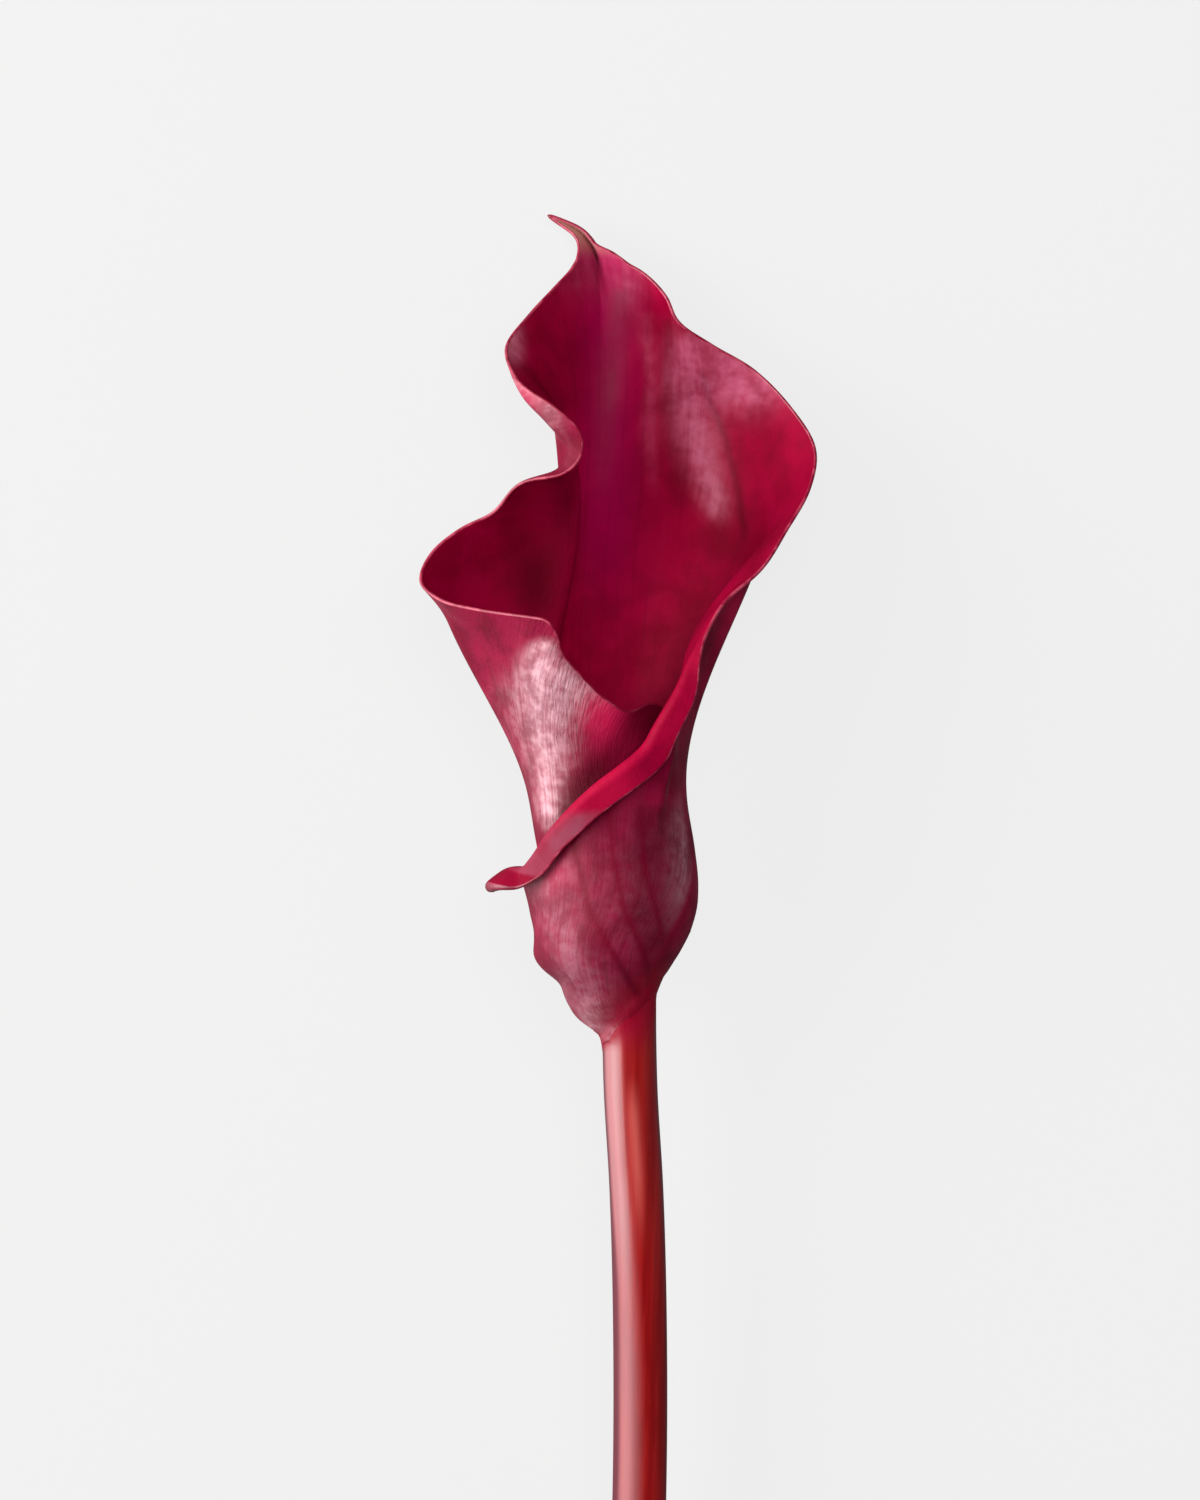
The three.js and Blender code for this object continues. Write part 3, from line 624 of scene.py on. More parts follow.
# %% Bending the tail
TAIL_ROOT = 115.8         # height at which the tail starts to bend
TAIL_AXIS = -5.7          # X of its middle line
TAIL_RADIUS = 6.5
TAIL_TURN = 60.0          # degrees that it bends to the left before it goes on straight
PRESS_SOFTNESS = 0.25


def curled(points):
    """Above the root, a point's height becomes a distance along an arc, and its distance from the
    tail's middle line is kept square to it. Past the arc the line goes on straight."""
    along = np.maximum(points[..., 1] - TAIL_ROOT, 0)
    angle = np.minimum(along / TAIL_RADIUS, math.radians(TAIL_TURN))
    rest = along - angle * TAIL_RADIUS
    side = points[..., 0] - TAIL_AXIS
    x = TAIL_AXIS - TAIL_RADIUS * (1 - np.cos(angle)) - rest * np.sin(angle) + side * np.cos(angle)
    y = TAIL_ROOT + TAIL_RADIUS * np.sin(angle) + rest * np.cos(angle) + side * np.sin(angle)
    bent = np.stack([x, y, points[..., 2]], -1)
    return np.where((points[..., 1] > TAIL_ROOT)[..., None], bent, points)


def pressed(points, clearance):
    """Heights above the table of at least a clearance, with a soft bend where they reach it."""
    z = -soft_min(-points[..., 2], -(FLOOR + clearance), PRESS_SOFTNESS)
    return np.concatenate([points[..., :2], z[..., None]], -1)


SHEET_BASE, SHEET_RIM = 0.5, 0.26       # half of the thickness at the stem and at the rim
middle_sheet = pressed(curled(middle_sheet), SHEET_BASE)
tip_point = middle_sheet[np.argmax(middle_sheet[:, -1, 1]), -1]
print("lowest", middle_sheet[..., 2].min().round(2), "tail_tan_and_highlight", tip_point.round(1))

# %% [markdown]
# ## Two faces and a rounded edge
# A leaf has a thickness, thin at the margin. One more grid runs up the outer face, round the edge in
# a half circle and down the inner face, so the edge catches the light as a thin line. At the foot
# the thickness goes to almost nothing, so that the leaf runs out on the stem without a step.

# %% Spathe grid
EAR_TURN, EAR_REACH = 445, 8
EAR_EXTRA = 1.3          # how much thicker the ear is than the leaf
FOOT_RUNOUT = 5.5        # distance over which the leaf thins out to its foot
FOOT_EDGE = 0.04         # share of the thickness that is left at the foot
EDGE_STEPS = 5
ABOVE_FLOOR = 0.02       # nothing lies lower than this over the table
# square to the grid's two directions, by the differences of neighbouring points
normal = unit(np.cross(np.gradient(middle_sheet, axis=1), np.gradient(middle_sheet, axis=0)))
share = from_base / from_base[:, -1:]
ear = bell(turns, EAR_TURN, EAR_REACH)[:, None] * ease((share - 0.8) / 0.2)
foot = FOOT_EDGE + (1 - FOOT_EDGE) * ease(from_base / FOOT_RUNOUT)
half = ((SHEET_BASE + (SHEET_RIM - SHEET_BASE) * share + EAR_EXTRA * ear / 2) * foot)[..., None]
tip_way = unit(middle_sheet[:, -1] - middle_sheet[:, -2])[:, None, :]
phi = np.radians(np.linspace(0, 180, EDGE_STEPS + 2)[1:-1])[None, :, None]
edge = middle_sheet[:, -1:] + half[:, -1:] * (np.cos(phi) * normal[:, -1:] + np.sin(phi) * tip_way)
outer, inner = middle_sheet + half * normal, middle_sheet - half * normal
outer[..., 2] = np.maximum(outer[..., 2], FLOOR + ABOVE_FLOOR)
loop = np.concatenate([outer, edge, inner[:, ::-1]], 1)
print("thickness", (2 * half.min()).round(2), "to", (2 * half.max()).round(2), "mm")

# %% Squares of the spathe
rows = BODY_ROWS + BAND_ROWS + 1
loop_rows = loop.shape[1]
j = np.arange(loop_rows - 1)
strip = np.where((j >= rows - 1) & (j < rows + EDGE_STEPS), 2, np.where(j < rows, 0, 1))
i = np.arange(COLUMNS - 1) * loop_rows
foot_faces = np.stack([i, i + loop_rows, i + 2 * loop_rows - 1, i + loop_rows - 1], -1)
k = np.arange(loop_rows // 2)
first_side = np.stack([k, loop_rows - 1 - k, loop_rows - 2 - k, k + 1], -1)
last_side = np.stack([loop_rows - 1 - k, k, k + 1, loop_rows - 2 - k], -1) + (COLUMNS - 1) * loop_rows
spathe_faces = np.concatenate([grid_faces(COLUMNS, loop_rows), foot_faces, first_side, last_side])
face_material = np.r_[np.tile(strip, COLUMNS - 1), np.full(len(foot_faces) + 2 * len(k), 2)]
print("two faces:", loop.shape, "points,", len(spathe_faces), "squares")

# %% [markdown]
# ## The skin of the petal
# Seen close, the leaf is not one red. Veins run along it a few degrees apart, darker than the flesh
# between them. The flesh is made of cells, which break every highlight up into grain, and fine
# creases follow the veins. Outside and inside share these, so they are shader groups.

# %% Vein group
def new_group(name, inputs, outputs):
    """An empty shader group with named sockets, where Place is a vector and the rest are numbers.
    Returns it with its two end nodes."""
    group = bpy.data.node_groups.new(name, "ShaderNodeTree")
    for way, labels in (("INPUT", inputs), ("OUTPUT", outputs)):
        for label in labels:
            kind = "NodeSocketVector" if label == "Place" else "NodeSocketFloat"
            group.interface.new_socket(label, in_out=way, socket_type=kind)
    return group, group.nodes.new("NodeGroupInput").outputs, group.nodes.new("NodeGroupOutput").inputs


veins, given, wanted = new_group("leaf veins", ("Across", "Along", "Spacing", "Slant"), ("Vein", "Streak"))
leaf_place = joined(veins, times(veins, given["Across"], 0.05), times(veins, given["Along"], 0.03))
wander = noise(veins, leaf_place, 1.6, 3.0)
leaning = calculate(veins, "MULTIPLY_ADD", given["Along"], given["Slant"], given["Across"])
wandering = calculate(veins, "MULTIPLY_ADD", wander, 9.0, leaning)
turns_of_wave = times(veins, calculate(veins, "DIVIDE", wandering, given["Spacing"]), 2 * math.pi)
wave = calculate(veins, "MULTIPLY_ADD", calculate(veins, "COSINE", turns_of_wave), 0.5, 0.5)
thin = calculate(veins, "POWER", wave, 7.0)
presence = ramp(veins, noise(veins, scaled(veins, leaf_place, (3.0, 1.2, 1.0)), 1.7, 2.0), 0.38, 0.62)
feed(veins, wanted["Vein"], times(veins, thin, presence))
streak_place = joined(veins, times(veins, wandering, 0.5), times(veins, given["Along"], 0.035))
feed(veins, wanted["Streak"], noise(veins, streak_place, 1.0, 4.0, 0.6))
print(veins.name, [s.name for s in veins.interface.items_tree])

# %% Cell group
cells, given, wanted = new_group("petal cells", ("Place", "Across", "Along", "Creases"),
                                 ("Height", "Grain", "Cloud"))
dots = add_node(cells, "TexVoronoi", {"Vector": given["Place"], "Scale": 2.2, "Smoothness": 0.6},
                feature="SMOOTH_F1")
grain = noise(cells, given["Place"], 0.62, 4.0, 0.5)
cloud = noise(cells, given["Place"], 0.16, 3.0, 0.55)
crease_place = joined(cells, times(cells, given["Across"], 0.42), times(cells, given["Along"], 0.10))
crease = times(cells, noise(cells, crease_place, 2.0, 4.0, 0.6), given["Creases"])
cell_height = plus(cells, times(cells, dots.outputs["Distance"], 0.35), times(cells, grain, 0.8))
feed(cells, wanted["Height"], plus(cells, cell_height, times(cells, crease, 3.0)))
feed(cells, wanted["Grain"], grain)
feed(cells, wanted["Cloud"], cloud)
print(cells.name, [s.name for s in cells.interface.items_tree])

# %% [markdown]
# ## Outside, inside and edge
# The outside is a cooler red than the inside, with a soft sheen of its own, and turns to the stem's
# clear red at the foot; painted highlights and painted sheen lie over it. The inside has painted shade
# on its left wall, in its folds and in the throat, and a band of purple up its middle. The edge is
# thin enough to look lighter.

# %% A skin of the petal
def petal_skin(name, spacing, slant, **plain):
    """A material that holds the veins and the cells. Returns it, its shader and tree, and what the
    two groups put out."""
    material, shader, tree = new_material(name, **plain)
    across, along = stored(tree, "across"), stored(tree, "along")
    vein_inputs = {"Across": across, "Along": along, "Spacing": spacing, "Slant": slant}
    cell_inputs = {"Place": object_place(tree), "Across": across, "Along": along,
                   "Creases": stored(tree, "creases")}
    vein = add_node(tree, "Group", vein_inputs, node_tree=veins).outputs
    skin = add_node(tree, "Group", cell_inputs, node_tree=cells).outputs
    return material, shader, tree, vein, skin


def patchiness(tree, vein, skin, shares, low, high, least):
    """How much of the gloss and of the painted highlights and sheen shows: the least to 1, as the
    sum of grain, streak and cloud, each with its share, goes from low to high."""
    brushed = plus(tree, times(tree, skin["Grain"], shares[0]), times(tree, vein["Streak"], shares[1]))
    return ramp(tree, plus(tree, brushed, times(tree, skin["Cloud"], shares[2])), low, high, least, 1.0)


def finish_skin(tree, shader, skin, patchy, color, dull, duller, depth):
    """Join the colour, a roughness that follows the grain, the gloss and the relief to the shader."""
    dress(tree, shader, Base_Color=color, Normal=relief(tree, skin["Height"], depth, 0.8),
          Roughness=ramp(tree, skin["Grain"], 0.3, 0.7, dull, duller),
          Coat_Weight=times(tree, stored(tree, "gloss"), patchy))


print("both faces share", veins.name, "and", cells.name)

# %% Outer face
outer_skin, shader, tree, vein, skin = petal_skin(
    "petal_outside", 15.0, 0.9, Roughness=0.6, Specular_IOR_Level=0.1, Coat_Roughness=0.33,
    Sheen_Weight=0.05, Sheen_Roughness=0.3, Sheen_Tint=screen_color(222, 170, 190))
patchy = patchiness(tree, vein, skin, (0.5, 0.5, 0.5), 0.62, 0.94, 0.26)
color = painted(
    tree, speckled(tree, skin["Cloud"], 0.35, 0.62, (98, 0, 32), (122, 2, 44)),
    (vein["Vein"], 0.45, (86, 0, 18)),
    (ramp(tree, vein["Streak"], 0.3, 0.7), 0.18, (134, 8, 52)),
    # painted shade in the crease above the lip and on the tube, and the ear's own deeper red
    ("shade_and_ear_red", 1, (66, 0, 14)),
    # painted light, a brighter red where parts of the front lie turned from the lamp
    ("painted_light", 1, (236, 30, 92)),
    ("foot", 1, (126, 0, 30)),
    # painted sheen down the sides of the tube, and a painted highlight on the ridge
    (times(tree, stored(tree, "sheen_and_veil"), patchy), 0.95, (172, 128, 142)),
    ("rib", 1, (98, 0, 28)),
    # painted highlights on the ridge, the foot and the pinch
    (times(tree, stored(tree, "painted_highlight"), patchy), 0.78, (214, 168, 177)),
    ("tail_tan_and_highlight", 1, (186, 150, 132)))
finish_skin(tree, shader, skin, patchy, color, 0.52, 0.66, 0.00012)
print(outer_skin.name, len(tree.nodes), "nodes")

# %% Inner face
inner_skin, shader, tree, vein, skin = petal_skin(
    "petal_inside", 9.0, 0.0, Roughness=0.6, Specular_IOR_Level=0.05, Coat_Roughness=0.36)
patchy = patchiness(tree, vein, skin, (0.45, 0.4, 0.6), 0.55, 1.0, 0.3)
color = painted(
    tree, speckled(tree, skin["Cloud"], 0.35, 0.65, (126, 0, 36), (144, 0, 44)),
    ("purple", 1, (162, 2, 80)),
    (vein["Vein"], 0.18, (96, 0, 26)),
    # painted light on the inner face of the lip
    ("painted_light", 1, (186, 16, 62)),
    # painted shade on the left wall, at the top, in the folds and in the throat, and the ear's own deeper
    # red
    ("shade_and_ear_red", 1, (78, 0, 18)),
    # painted highlights and sheen on the right lobe, the upper left and the midrib
    (times(tree, stored(tree, "painted_highlight"), patchy), 0.6, (206, 110, 144)),
    # a bluish veil up the middle, and painted sheen at the lower end of the lip
    (times(tree, stored(tree, "sheen_and_veil"), ramp(tree, skin["Cloud"], 0.35, 0.65, 0.5, 1.0)), 1, (114, 62, 78)),
    # the tail's own tan, and a painted highlight on the rim of the bulge
    ("tail_tan_and_highlight", 1, (186, 138, 124)))
finish_skin(tree, shader, skin, patchy, color, 0.55, 0.66, 0.00010)
print(inner_skin.name, len(tree.nodes), "nodes")

# %% Edge
edge_skin, shader, tree = new_material("petal_edge", Roughness=0.4, Specular_IOR_Level=0.5)
worn = noise(tree, object_place(tree), 0.5, 2.0)
color = painted(tree, speckled(tree, worn, 0.4, 0.65, (128, 8, 44), (160, 52, 76)),
                # painted shade carried over onto the edge
                ("shade_and_ear_red", 1, (92, 0, 30)))
dress(tree, shader, Base_Color=color)
print(edge_skin.name, len(tree.nodes), "nodes")

# %% [markdown]
# ## Where light and shade are painted on the leaf
# Some places of the leaf carry painted highlights and painted sheen, others painted shade in its
# folds, creases and hollows, and a few colours of its own: veins, the tan of the tail and the deeper
# red of the ear. All are masks stored at the points of its mesh, so they stay put from any side.
# Each one is placed by the pixel of the photograph that shows it: a spot is a bell both ways, a band
# is a bell across a path. Layers of the wrap lie behind one another there, so a gate on the turn
# keeps each mask to its own layer.

# %% Spots, bands and gates
pixel_column = AXIS_PIXEL[0] + middle_sheet[..., 0] / PIXEL
height = middle_sheet[..., 1]
pixel_row = AXIS_PIXEL[1] - height / PIXEL
turn_grid = np.repeat(turns[:, None], rows, 1)
BAND_FADES = (12, 30)       # pixels over which a band sets in at its top and dies out at its foot


def spot(column, row, reach_across, reach_down):
    """A soft spot round a pixel: 1 there, and 0.37 one reach away."""
    return bell(pixel_column, column, reach_across) * bell(pixel_row, row, reach_down)


def band(path):
    """A soft band along a path of (row, column, reach): 1 on the path, 0.37 a reach to the left or
    right of it, and nothing above and below its ends."""
    path_rows, path_columns, reaches = np.array(path, float).T
    centre = np.interp(pixel_row, path_rows, path_columns)
    reach = np.interp(pixel_row, path_rows, reaches)
    sets_in = ease((pixel_row - path_rows[0]) / BAND_FADES[0])
    dies_out = ease((path_rows[-1] - pixel_row) / BAND_FADES[1])
    return bell(pixel_column, centre, reach) * sets_in * dies_out


def between(first, last, width=15):
    """1 for turns between two, easing in and out over a width."""
    return ease((turn_grid - first) / width) * ease((last - turn_grid) / width)


def clipped(mask):
    """A mask held between 0 and 1."""
    return np.clip(mask, 0, 1)


in_front = ease((middle_sheet[..., 2] + 6) / 6)
first_layer = ease((95 - turn_grid) / 15) * in_front      # the layer that the wrap begins with
top_layer = ease((turn_grid - 285) / 20)                  # the one that ends in the free margin
tube_front = top_layer * in_front
lip_part = (1 - ease((from_rim - 4.5) / 2.0)) * top_layer
left_inside, pinch, top_inside = between(20, 125), between(100, 150, 10), between(130, 230)
back_inside, right_inside = between(135, 250), between(185, 300)
print("share of the sheet on the front of the tube:", tube_front.mean().round(2))

# %% Paths
# rows, columns and reaches in pixels of the photograph
# the ridge, sheen and midrib paths lay painted highlights; the crease, tube shade, fold and lobe fold paths
# lay painted shade; the paths down the sides of the tube and at the lip's end lay painted sheen
RIDGE = [(634, 546, 7), (654, 542, 14), (690, 544, 30), (715, 548, 29), (747, 549, 22), (780, 551, 15),
         (805, 549, 10), (840, 554, 10)]
SHEEN = [(330, 702, 18), (385, 687, 20), (440, 698, 21), (490, 712, 15), (530, 724, 9)]
CREASE = [(665, 668, 14), (690, 655, 20), (720, 636, 24), (750, 612, 22), (780, 590, 16), (805, 571, 12),
          (845, 550, 8)]
TUBE_SHADE = [(800, 665, 26), (850, 650, 32), (900, 645, 34), (960, 652, 22)]
MIDRIB = [(305, 648, 6), (330, 646, 8), (380, 652, 5), (430, 648, 8), (510, 656, 6)]
BLUE_VEIL = [(280, 625, 12), (350, 613, 14), (430, 605, 12), (520, 602, 12)]
FOLD = [(310, 672, 8), (380, 668, 10), (440, 674, 12), (520, 682, 12)]
LOBE_FOLD = [(365, 701, 3), (400, 712, 4), (437, 727, 4), (490, 740, 4), (550, 749, 6)]
FRONT_VEINS = [
    [(800, 572, 3), (850, 577, 3.5), (910, 590, 4), (950, 612, 4.5), (1010, 646, 6)],
    [(780, 606, 3), (850, 612, 3), (910, 624, 3.5), (950, 642, 4), (1000, 656, 5)],
    [(800, 640, 3), (860, 642, 3), (910, 655, 3.5), (970, 668, 4)],
]
LIP_SHEEN = [(806, 600, 16), (830, 577, 26), (860, 545, 26), (910, 515, 24)]
RIGHT_SHEEN = [(720, 691, 6), (780, 692, 9), (830, 692, 18), (900, 697, 20), (980, 682, 12)]
LEFT_SHEEN = [(850, 552, 18), (880, 546, 22), (910, 553, 17), (940, 566, 16), (975, 576, 28),
             (1040, 598, 24)]
EAR_TOP = [(480, 860), (505, 868), (512, 872), (546, 877.5)]      # a line, as columns and rows
print("the ridge runs from row", RIDGE[0][0], "to row", RIDGE[-1][0])

# %% Masks of the outer face
under_ear_line = pixel_row - np.interp(pixel_column, *np.array(EAR_TOP, float).T)
ear_red = ease(under_ear_line / 3 + 0.5) * ease((550 - pixel_column) / 8) * lip_part
# painted highlight along the ridge of the front lobe and on the wrinkles to its right; its top gets a paler
# painted highlight too
ridge = clipped(band(RIDGE) + 0.75 * spot(584, 682, 24, 20)) * first_layer
ridge_top = 0.5 * spot(546, 700, 22, 34) * first_layer
pinch_shine = (0.6 * spot(550, 402, 14, 26) + 0.5 * spot(524, 384, 16, 16)) * pinch
foot_shine = (0.75 * spot(590, 1020, 12, 18) + 0.4 * spot(564, 994, 10, 14) + 0.7 * spot(540, 881, 10, 14)
              + spot(619, 1037, 10, 9)) * tube_front
# painted sheen down the right and the left side of the tube, and faintly over its front
tube_sheen = (band(RIGHT_SHEEN) + 0.34 * band(LEFT_SHEEN) + 0.1 * spot(606, 900, 60, 84)) * tube_front
front_veins = 0.85 * sum(band(path) for path in FRONT_VEINS) * tube_front * (1 - lip_part)
# painted shade in the crease above the lip and down the shaded part of the tube's front
front_shade = 0.9 * band(CREASE) * first_layer + 0.5 * band(TUBE_SHADE) * top_layer * (1 - lip_part)
# painted light: a brighter red at the middle of the front, on the pinch, on the right lip and under the
# ear, where the lamp leaves them dark
front_light = (0.5 * spot(600, 712, 26, 34) * first_layer + 0.2 * spot(532, 388, 24, 18)
               + 0.3 * spot(734, 612, 14, 36) + 0.25 * spot(548, 872, 18, 22))
# the tail's own tan; on the inner face a painted highlight on the rim of the bulge joins it
tail_tan_and_highlight = ease((height - 116.5) / 5) * 0.9
gloss = 0.12 + 0.85 * ridge - 0.12 * lip_part - 0.1 * spot(478, 625, 45, 32) * first_layer
outer_masks = {"gloss": np.clip(gloss, 0.03, 1), "painted_highlight": clipped(ridge + foot_shine + pinch_shine),
               "shade_and_ear_red": clipped(front_shade + 0.7 * ear_red), "sheen_and_veil": clipped(tube_sheen + ridge_top), "tail_tan_and_highlight": tail_tan_and_highlight,
               "painted_light": clipped(front_light), "rib": clipped(front_veins)}
print({key: mask.max().round(2) for key, mask in outer_masks.items()})

# %% Masks of the inner face
sheen = np.clip(0.88 * band(SHEEN) + 1.3 * spot(748, 380, 36, 26) + 1.5 * spot(710, 348, 30, 24), 0, 1.2)
sheen = sheen * right_inside
upper_shine = (0.35 * spot(592, 262, 34, 28) + 0.55 * spot(632, 280, 14, 24)
               + 1.7 * spot(511, 345, 9, 24)) * top_inside
# painted highlight along the raised midrib
midrib = 0.3 * band(MIDRIB) * back_inside * ease((height - 78) / 16)
blue_veil = 0.4 * band(BLUE_VEIL) * back_inside * ease((height - 76) / 22)
# painted sheen at the lower end of the lip
lip_sheen = 0.85 * band(LIP_SHEEN) * lip_part * (1 - ear_red)
# painted shade on the left wall, at the top on the left, and in the folds of the right lobe and the throat
left_shade = (0.85 * spot(540, 580, 36, 66) + 0.45 * spot(566, 516, 22, 46)
             + 0.35 * spot(492, 565, 40, 30)) * left_inside
top_shade = (0.35 * spot(545, 400, 25, 60) + 0.3 * spot(584, 365, 20, 50)) * top_inside
right_shade = (0.45 * spot(745, 545, 40, 50) + 0.4 * band(FOLD) + 0.5 * band(LOBE_FOLD)
              + 0.2 * spot(795, 490, 26, 50) + 0.4 * spot(694, 640, 24, 36)) * right_inside
inner_masks = {"gloss": clipped(0.02 + 0.8 * sheen + 0.6 * upper_shine),
               "painted_highlight": clipped(sheen + upper_shine + midrib),
               "shade_and_ear_red": clipped(left_shade + top_shade + right_shade + 0.4 * ear_red),
               "sheen_and_veil": clipped(blue_veil + lip_sheen),
               # the tail's own tan, and a painted highlight on the lit rim of the bulge
               "tail_tan_and_highlight": tail_tan_and_highlight + 0.25 * spot(508, 341, 7, 16) * top_inside,
               # painted light on the inner face of the lip
               "painted_light": 0.42 * spot(616, 790, 30, 32) * lip_part, "rib": 0 * tail_tan_and_highlight}
print({key: mask.max().round(2) for key, mask in inner_masks.items()})

# %% Spathe
def two_faced(outside, inside):
    """Numbers for the outer face, the edge and the inner face, in the order of the grid."""
    return np.concatenate([outside, np.repeat(outside[:, -1:], EDGE_STEPS, 1), inside[:, ::-1]], 1)


above_ring = height - base_height(turn_grid)
both_masks = {
    "across": turn_grid,
    "along": from_base,
    "foot": (1 - ease((above_ring - 0.5) / 4.0)) * (0.7 - 0.3 * np.sin(np.radians(turn_grid))),
    "purple": 0.5 * bell(middle_sheet[..., 0], -3.6, 5.0) * ease((height - 56) / 24),
    "creases": 0.25 + 1.6 * bell(turns, 20, 20)[:, None] * ease((from_base - 26) / 12),
}
masks = {key: two_faced(values, values) for key, values in both_masks.items()}
masks.update({key: two_faced(outer_masks[key], inner_masks[key]) for key in outer_masks})
spathe = build("spathe_leaf", loop.reshape(-1, 3), spathe_faces, [outer_skin, inner_skin, edge_skin],
               face_material, masks)
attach(spathe, "root")
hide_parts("spathe")

# %% [markdown]
# ## The stem
# The stem is a thick, fleshy, shining stalk, very slightly five-sided. It droops to the table at its
# cut end. Inside the spathe it goes on as a thinner neck, so its radius depends on the height and on
# the turn: it keeps its full size up to the slanting ring where the spathe is attached.

# %% Stem surface
STEM_RADIUS, CUT_RADIUS, NECK_RADIUS = 4.05, 4.25, 3.0
SWELL_HEIGHT = 150.0        # height over which the stem gets thicker towards the cut
NECK_TOP, CUT_HEIGHT = 10.0, -225.0
NECK_START, NECK_TAPER = 0.8, 2.5       # above the ring: where the neck starts, over what height
STEM_SIDES, SIDE_DEPTH, SIDE_TURN = 5, 0.012, 20
# the stem's middle line: X, Y and Z
STEM_LINE = [
    (-11.5, CUT_HEIGHT, FLOOR + CUT_RADIUS), (-5.6, -170, -12.0), (-1.6, -125, -8.9), (1.0, -85, -5.7),
    (1.6, -50, -2.9), (1.0, -23, -1.0), (0.1, -7, -0.25), (-0.05, 0, 0), (-0.05, NECK_TOP, 0),
]


def all_round(sides):
    """The turns of a ring's points, as a column."""
    return np.linspace(0, 360, sides, endpoint=False)[:, None]


def ringed(line, y, turn, radius):
    """Rings across a middle line: its point at each height, plus the radius away from it."""
    line = np.array(line)
    xz = table_curve(line[:, 1], line[:, [0, 2]], y)
    return np.stack([xz[..., 0], y, xz[..., 1]], -1) + radius[..., None] * around(turn)


def stem_surface(sides, steps):
    """The radius grows towards the cut, narrows to the neck above the slanting ring, and has five
    faint sides: one per cent of the cosine of five times the turn."""
    turn = all_round(sides)
    y = CUT_HEIGHT + (NECK_TOP - CUT_HEIGHT) * np.linspace(0, 1, steps)[None, :]
    radius = STEM_RADIUS + (CUT_RADIUS - STEM_RADIUS) * (1 - ease((y - CUT_HEIGHT) / SWELL_HEIGHT))
    radius = radius + FLARE * ease((y - base_height(turn)) / FLARE_HEIGHT + 1)
    into_neck = ease((y - base_height(turn) - NECK_START) / NECK_TAPER)
    radius = radius + (NECK_RADIUS - radius) * into_neck
    ripple = SIDE_DEPTH * np.cos(np.radians(STEM_SIDES * (turn - SIDE_TURN)))
    radius = radius * (1 + ripple * (1 - into_neck))
    points = ringed(STEM_LINE, np.broadcast_to(y, radius.shape), turn, radius)
    points[..., 2] = np.maximum(points[..., 2], FLOOR + ABOVE_FLOOR)
    return points


def capped(points, steps):
    """Both end rings go on as smaller rings in the plane of the end, so that the cut face has points
    of its own."""
    shrink = np.linspace(1, 0, steps + 2)[1:-1][None, :, None]
    ends = [points[:, row] for row in (0, -1)]
    low, top = [end.mean(0) + (end - end.mean(0))[:, None] * shrink for end in ends]
    return np.concatenate([low[:, ::-1], points, top], 1)


CAP_RINGS = 5
stem_grid = capped(stem_surface(64, 300), CAP_RINGS)
stem_points, stem_faces = tube_mesh(stem_grid)
print("stem", stem_grid.shape)

# %% Stem material
stem_skin, shader, tree = new_material(
    "stem_skin", Roughness=0.4, Specular_IOR_Level=0.15, Coat_Roughness=0.28)
streaks = noise(tree, scaled(tree, object_place(tree), (0.9, 0.03, 0.9)), 1.0, 3.0, 0.5)
color = painted(
    tree, speckled(tree, streaks, 0.35, 0.65, (122, 8, 12), (142, 18, 18)),
    ("stripe", 0.7, (190, 84, 78)),
    # painted highlight down the stem's lit side, weaker lower down
    ("painted_stem_highlight", 0.64, (166, 120, 124)),
    ("shade", 0.8, (70, 14, 34)),
    ("crown", 1, (126, 0, 30)))
duller_crown = calculate(tree, "MULTIPLY_ADD", stored(tree, "crown"), 0.18, 0.42)
dress(tree, shader, Base_Color=color, Coat_Weight=stored(tree, "gloss"), Roughness=duller_crown,
      Normal=relief(tree, streaks, 0.0002, 0.5))
print(stem_skin.name, len(tree.nodes), "nodes")

# %% Cut end
cut_flesh, shader, tree = new_material("stem_cut", Roughness=0.45)
bundles = add_node(tree, "TexVoronoi", {"Vector": object_place(tree), "Scale": 1.5}).outputs["Distance"]
dress(tree, shader, Base_Color=speckled(tree, bundles, 0.15, 0.3, (150, 130, 70), (214, 214, 160)),
      Normal=relief(tree, bundles, 0.0002))
print(cut_flesh.name, len(tree.nodes), "nodes")

# %% Masks of the stem
STRIPE_TURN, STRIPE_REACH = -3, 12      # the stripe of light down its front
SHADE_RIGHT, SHADE_REACH = 282, 22      # the soft shade on its right; a deeper one is on its left
HIGHLIGHT_HEIGHTS = [-64, -52, -40, -28, -19, -8]
HIGHLIGHT_TURNS = [4, 6, 10, 19, 32, 27]     # where the painted highlight on the stem's lit side begins at those heights
stem_turn = np.linspace(0, 360, len(stem_grid), endpoint=False)[:, None]
side_turn = (stem_turn + 180) % 360 - 180
stem_y = stem_grid[..., 1]
stripe = bell(side_turn, STRIPE_TURN, STRIPE_REACH) * ease((-5 - stem_y) / 8) * ease((stem_y + 34) / 16)
highlight_from = np.interp(stem_y, HIGHLIGHT_HEIGHTS, HIGHLIGHT_TURNS)
painted_stem_highlight = ease((side_turn - highlight_from) / 38 + 0.5) * ease((112 - side_turn) / 24)
shade = ease((stem_turn - 60 + 17 * ease((-20 - stem_y) / 20)) / 18) * ease((120 - stem_turn) / 16)
shade = shade + 0.7 * bell(stem_turn, SHADE_RIGHT, SHADE_REACH)
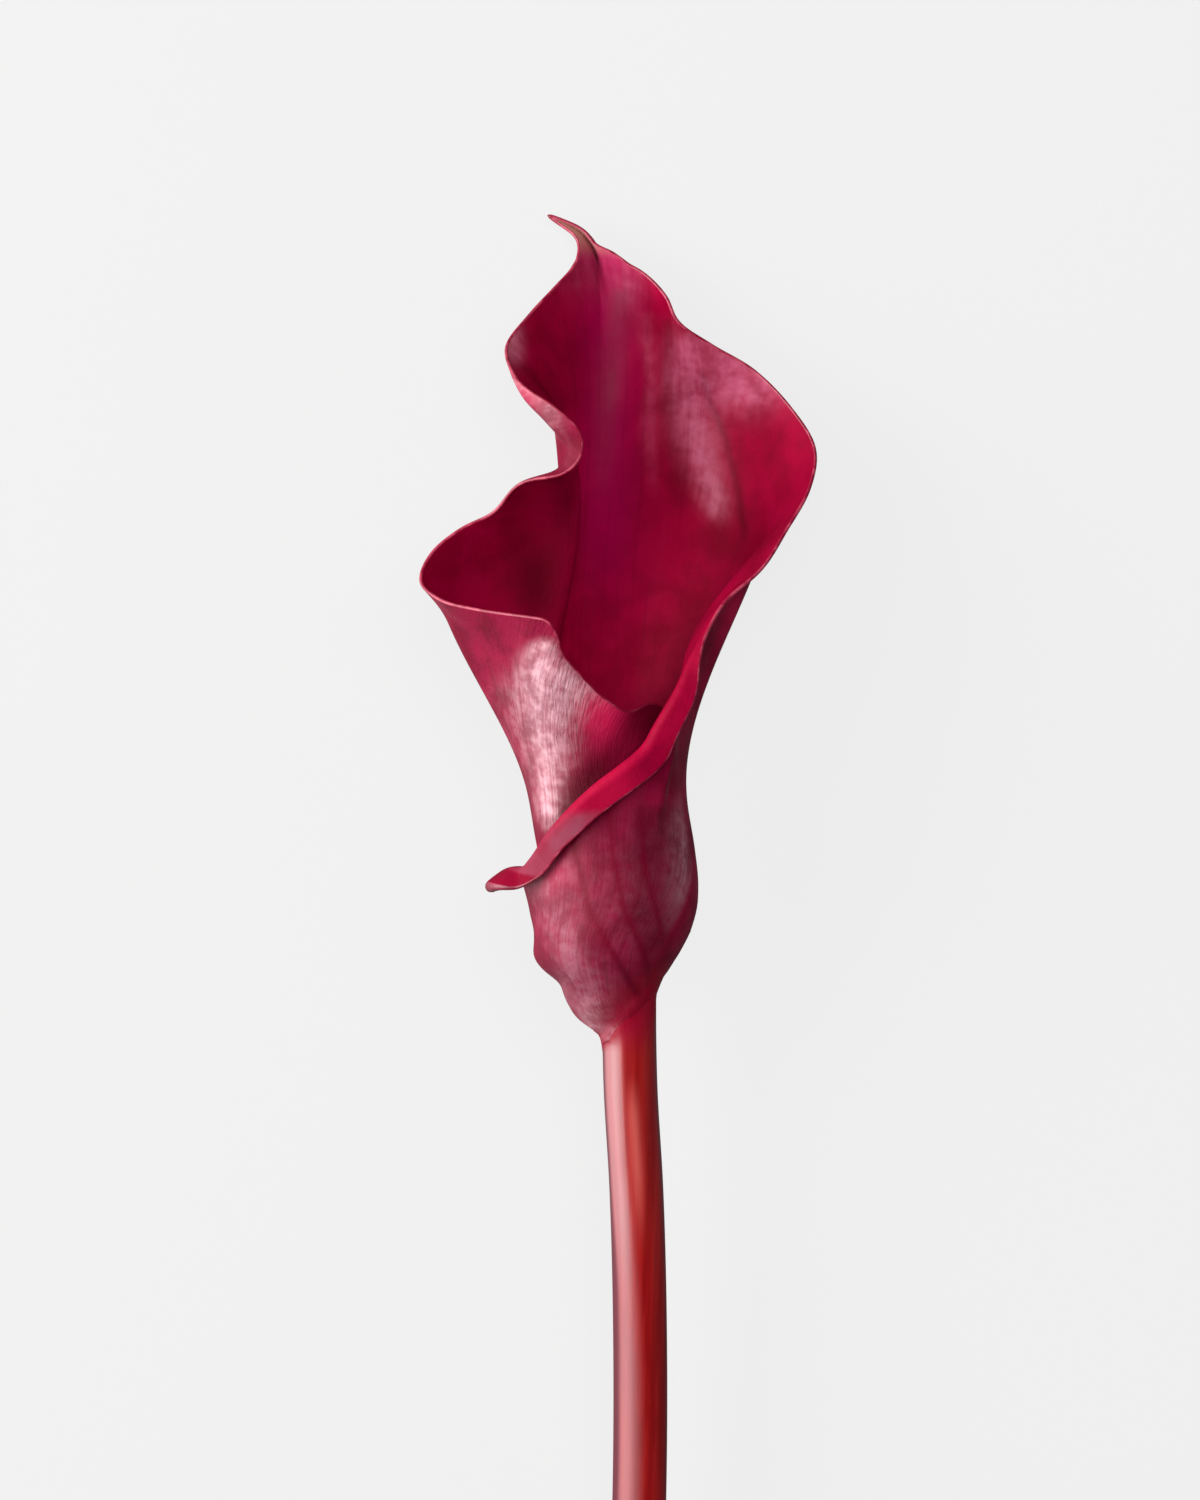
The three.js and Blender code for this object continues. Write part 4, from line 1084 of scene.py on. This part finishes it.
# the leaf's own red runs down on the stem, furthest a little to the right of the front
crown_depth = 0.8 + 7 * bell((stem_turn + 80) % 360, 50, 52)
crown = 1 - ease((foot_height(stem_turn) - stem_y) / crown_depth)
dull = ease((-14 - stem_y) / 30)        # the gloss fades down the stem
stem_masks = {"stripe": stripe, "painted_stem_highlight": painted_stem_highlight * (1 - 0.3 * dull), "shade": shade, "crown": crown,
              "gloss": 0.55 * (1 - 0.8 * crown) * (1 - 0.8 * dull)}
print({key: mask.max().round(2) for key, mask in stem_masks.items()})

# %% Stem
on_cut = np.tile(np.arange(stem_grid.shape[1] - 1) < CAP_RINGS, len(stem_grid))
fans = np.repeat([True, False], len(stem_grid))
stem = build("stem_stalk", stem_points, stem_faces, [stem_skin, cut_flesh], np.r_[on_cut, fans],
             {key: np.r_[values.ravel(), 0, 0] for key, values in stem_masks.items()})
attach(stem, "root")
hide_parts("stem")

# %% [markdown]
# ## The spadix
# The finger of true flowers stands on the neck, deep in the tube. Its florets are small round knobs
# in rows that wind round it both ways, so there is a bump wherever two spirals cross.

# %% Spadix
SPADIX_RADIUS, SPADIX_TOP, GAP = 3.7, 45.5, 0.3
SPADIX_LINE = [(-0.1, NECK_TOP + GAP, 0), (-1.4, 20, 0), (-2.8, 33, -0.3), (-4.6, SPADIX_TOP, -1)]
KNOB_ROWS, KNOB_WIND, KNOB_SIZE = 13, 2.2, 0.28     # rows round it, radians a row winds per mm, height


def spadix_surface(sides, steps):
    """The radius follows a rounded finger. On it lies the mean of two cosines, one for each spiral,
    which makes a knob wherever two crests cross. Returns the points and that mean."""
    low, turn = SPADIX_LINE[0][1], all_round(sides)
    share = 1 - (1 - np.linspace(0, 1, steps)[None, :]) ** 1.6
    y = np.broadcast_to(low + (SPADIX_TOP - low) * share, (sides, steps))
    radius = SPADIX_RADIUS * np.sqrt(np.clip(1 - share ** 5, 0, 1))
    radius = radius * (0.92 + 0.08 * ease(share / 0.2)) * (1 - 0.12 * share)
    row_turn = np.radians(KNOB_ROWS * turn)
    both_ways = np.cos(row_turn + KNOB_WIND * y) + np.cos(row_turn - KNOB_WIND * y)
    knobs = both_ways / 2 * ease(radius / 1.5)
    radius = np.maximum(radius - KNOB_SIZE + KNOB_SIZE * knobs, 0.02)
    return ringed(SPADIX_LINE, y, turn, radius), knobs


spadix_grid, knob_height = spadix_surface(156, 220)
spadix_points, spadix_faces = tube_mesh(spadix_grid)
pollen_skin, shader, tree = new_material("spadix_florets", Roughness=0.62)
dust = noise(tree, object_place(tree), 3.0, 3.0)
# darker orange between the knobs and yellow on top of them, with pale yellow dust over it
color = painted(tree, speckled(tree, stored(tree, "knob"), -0.6, 0.6, (168, 96, 22), (226, 170, 62)),
                (ramp(tree, dust, 0.45, 0.7), 1, (240, 202, 110)))
dress(tree, shader, Base_Color=color, Normal=relief(tree, dust, 0.0001))
spadix = build("spadix_finger", spadix_points, spadix_faces, [pollen_skin], 0,
               {"knob": np.r_[knob_height.ravel(), 0, 0]})
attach(spadix, "root")
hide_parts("spadix")
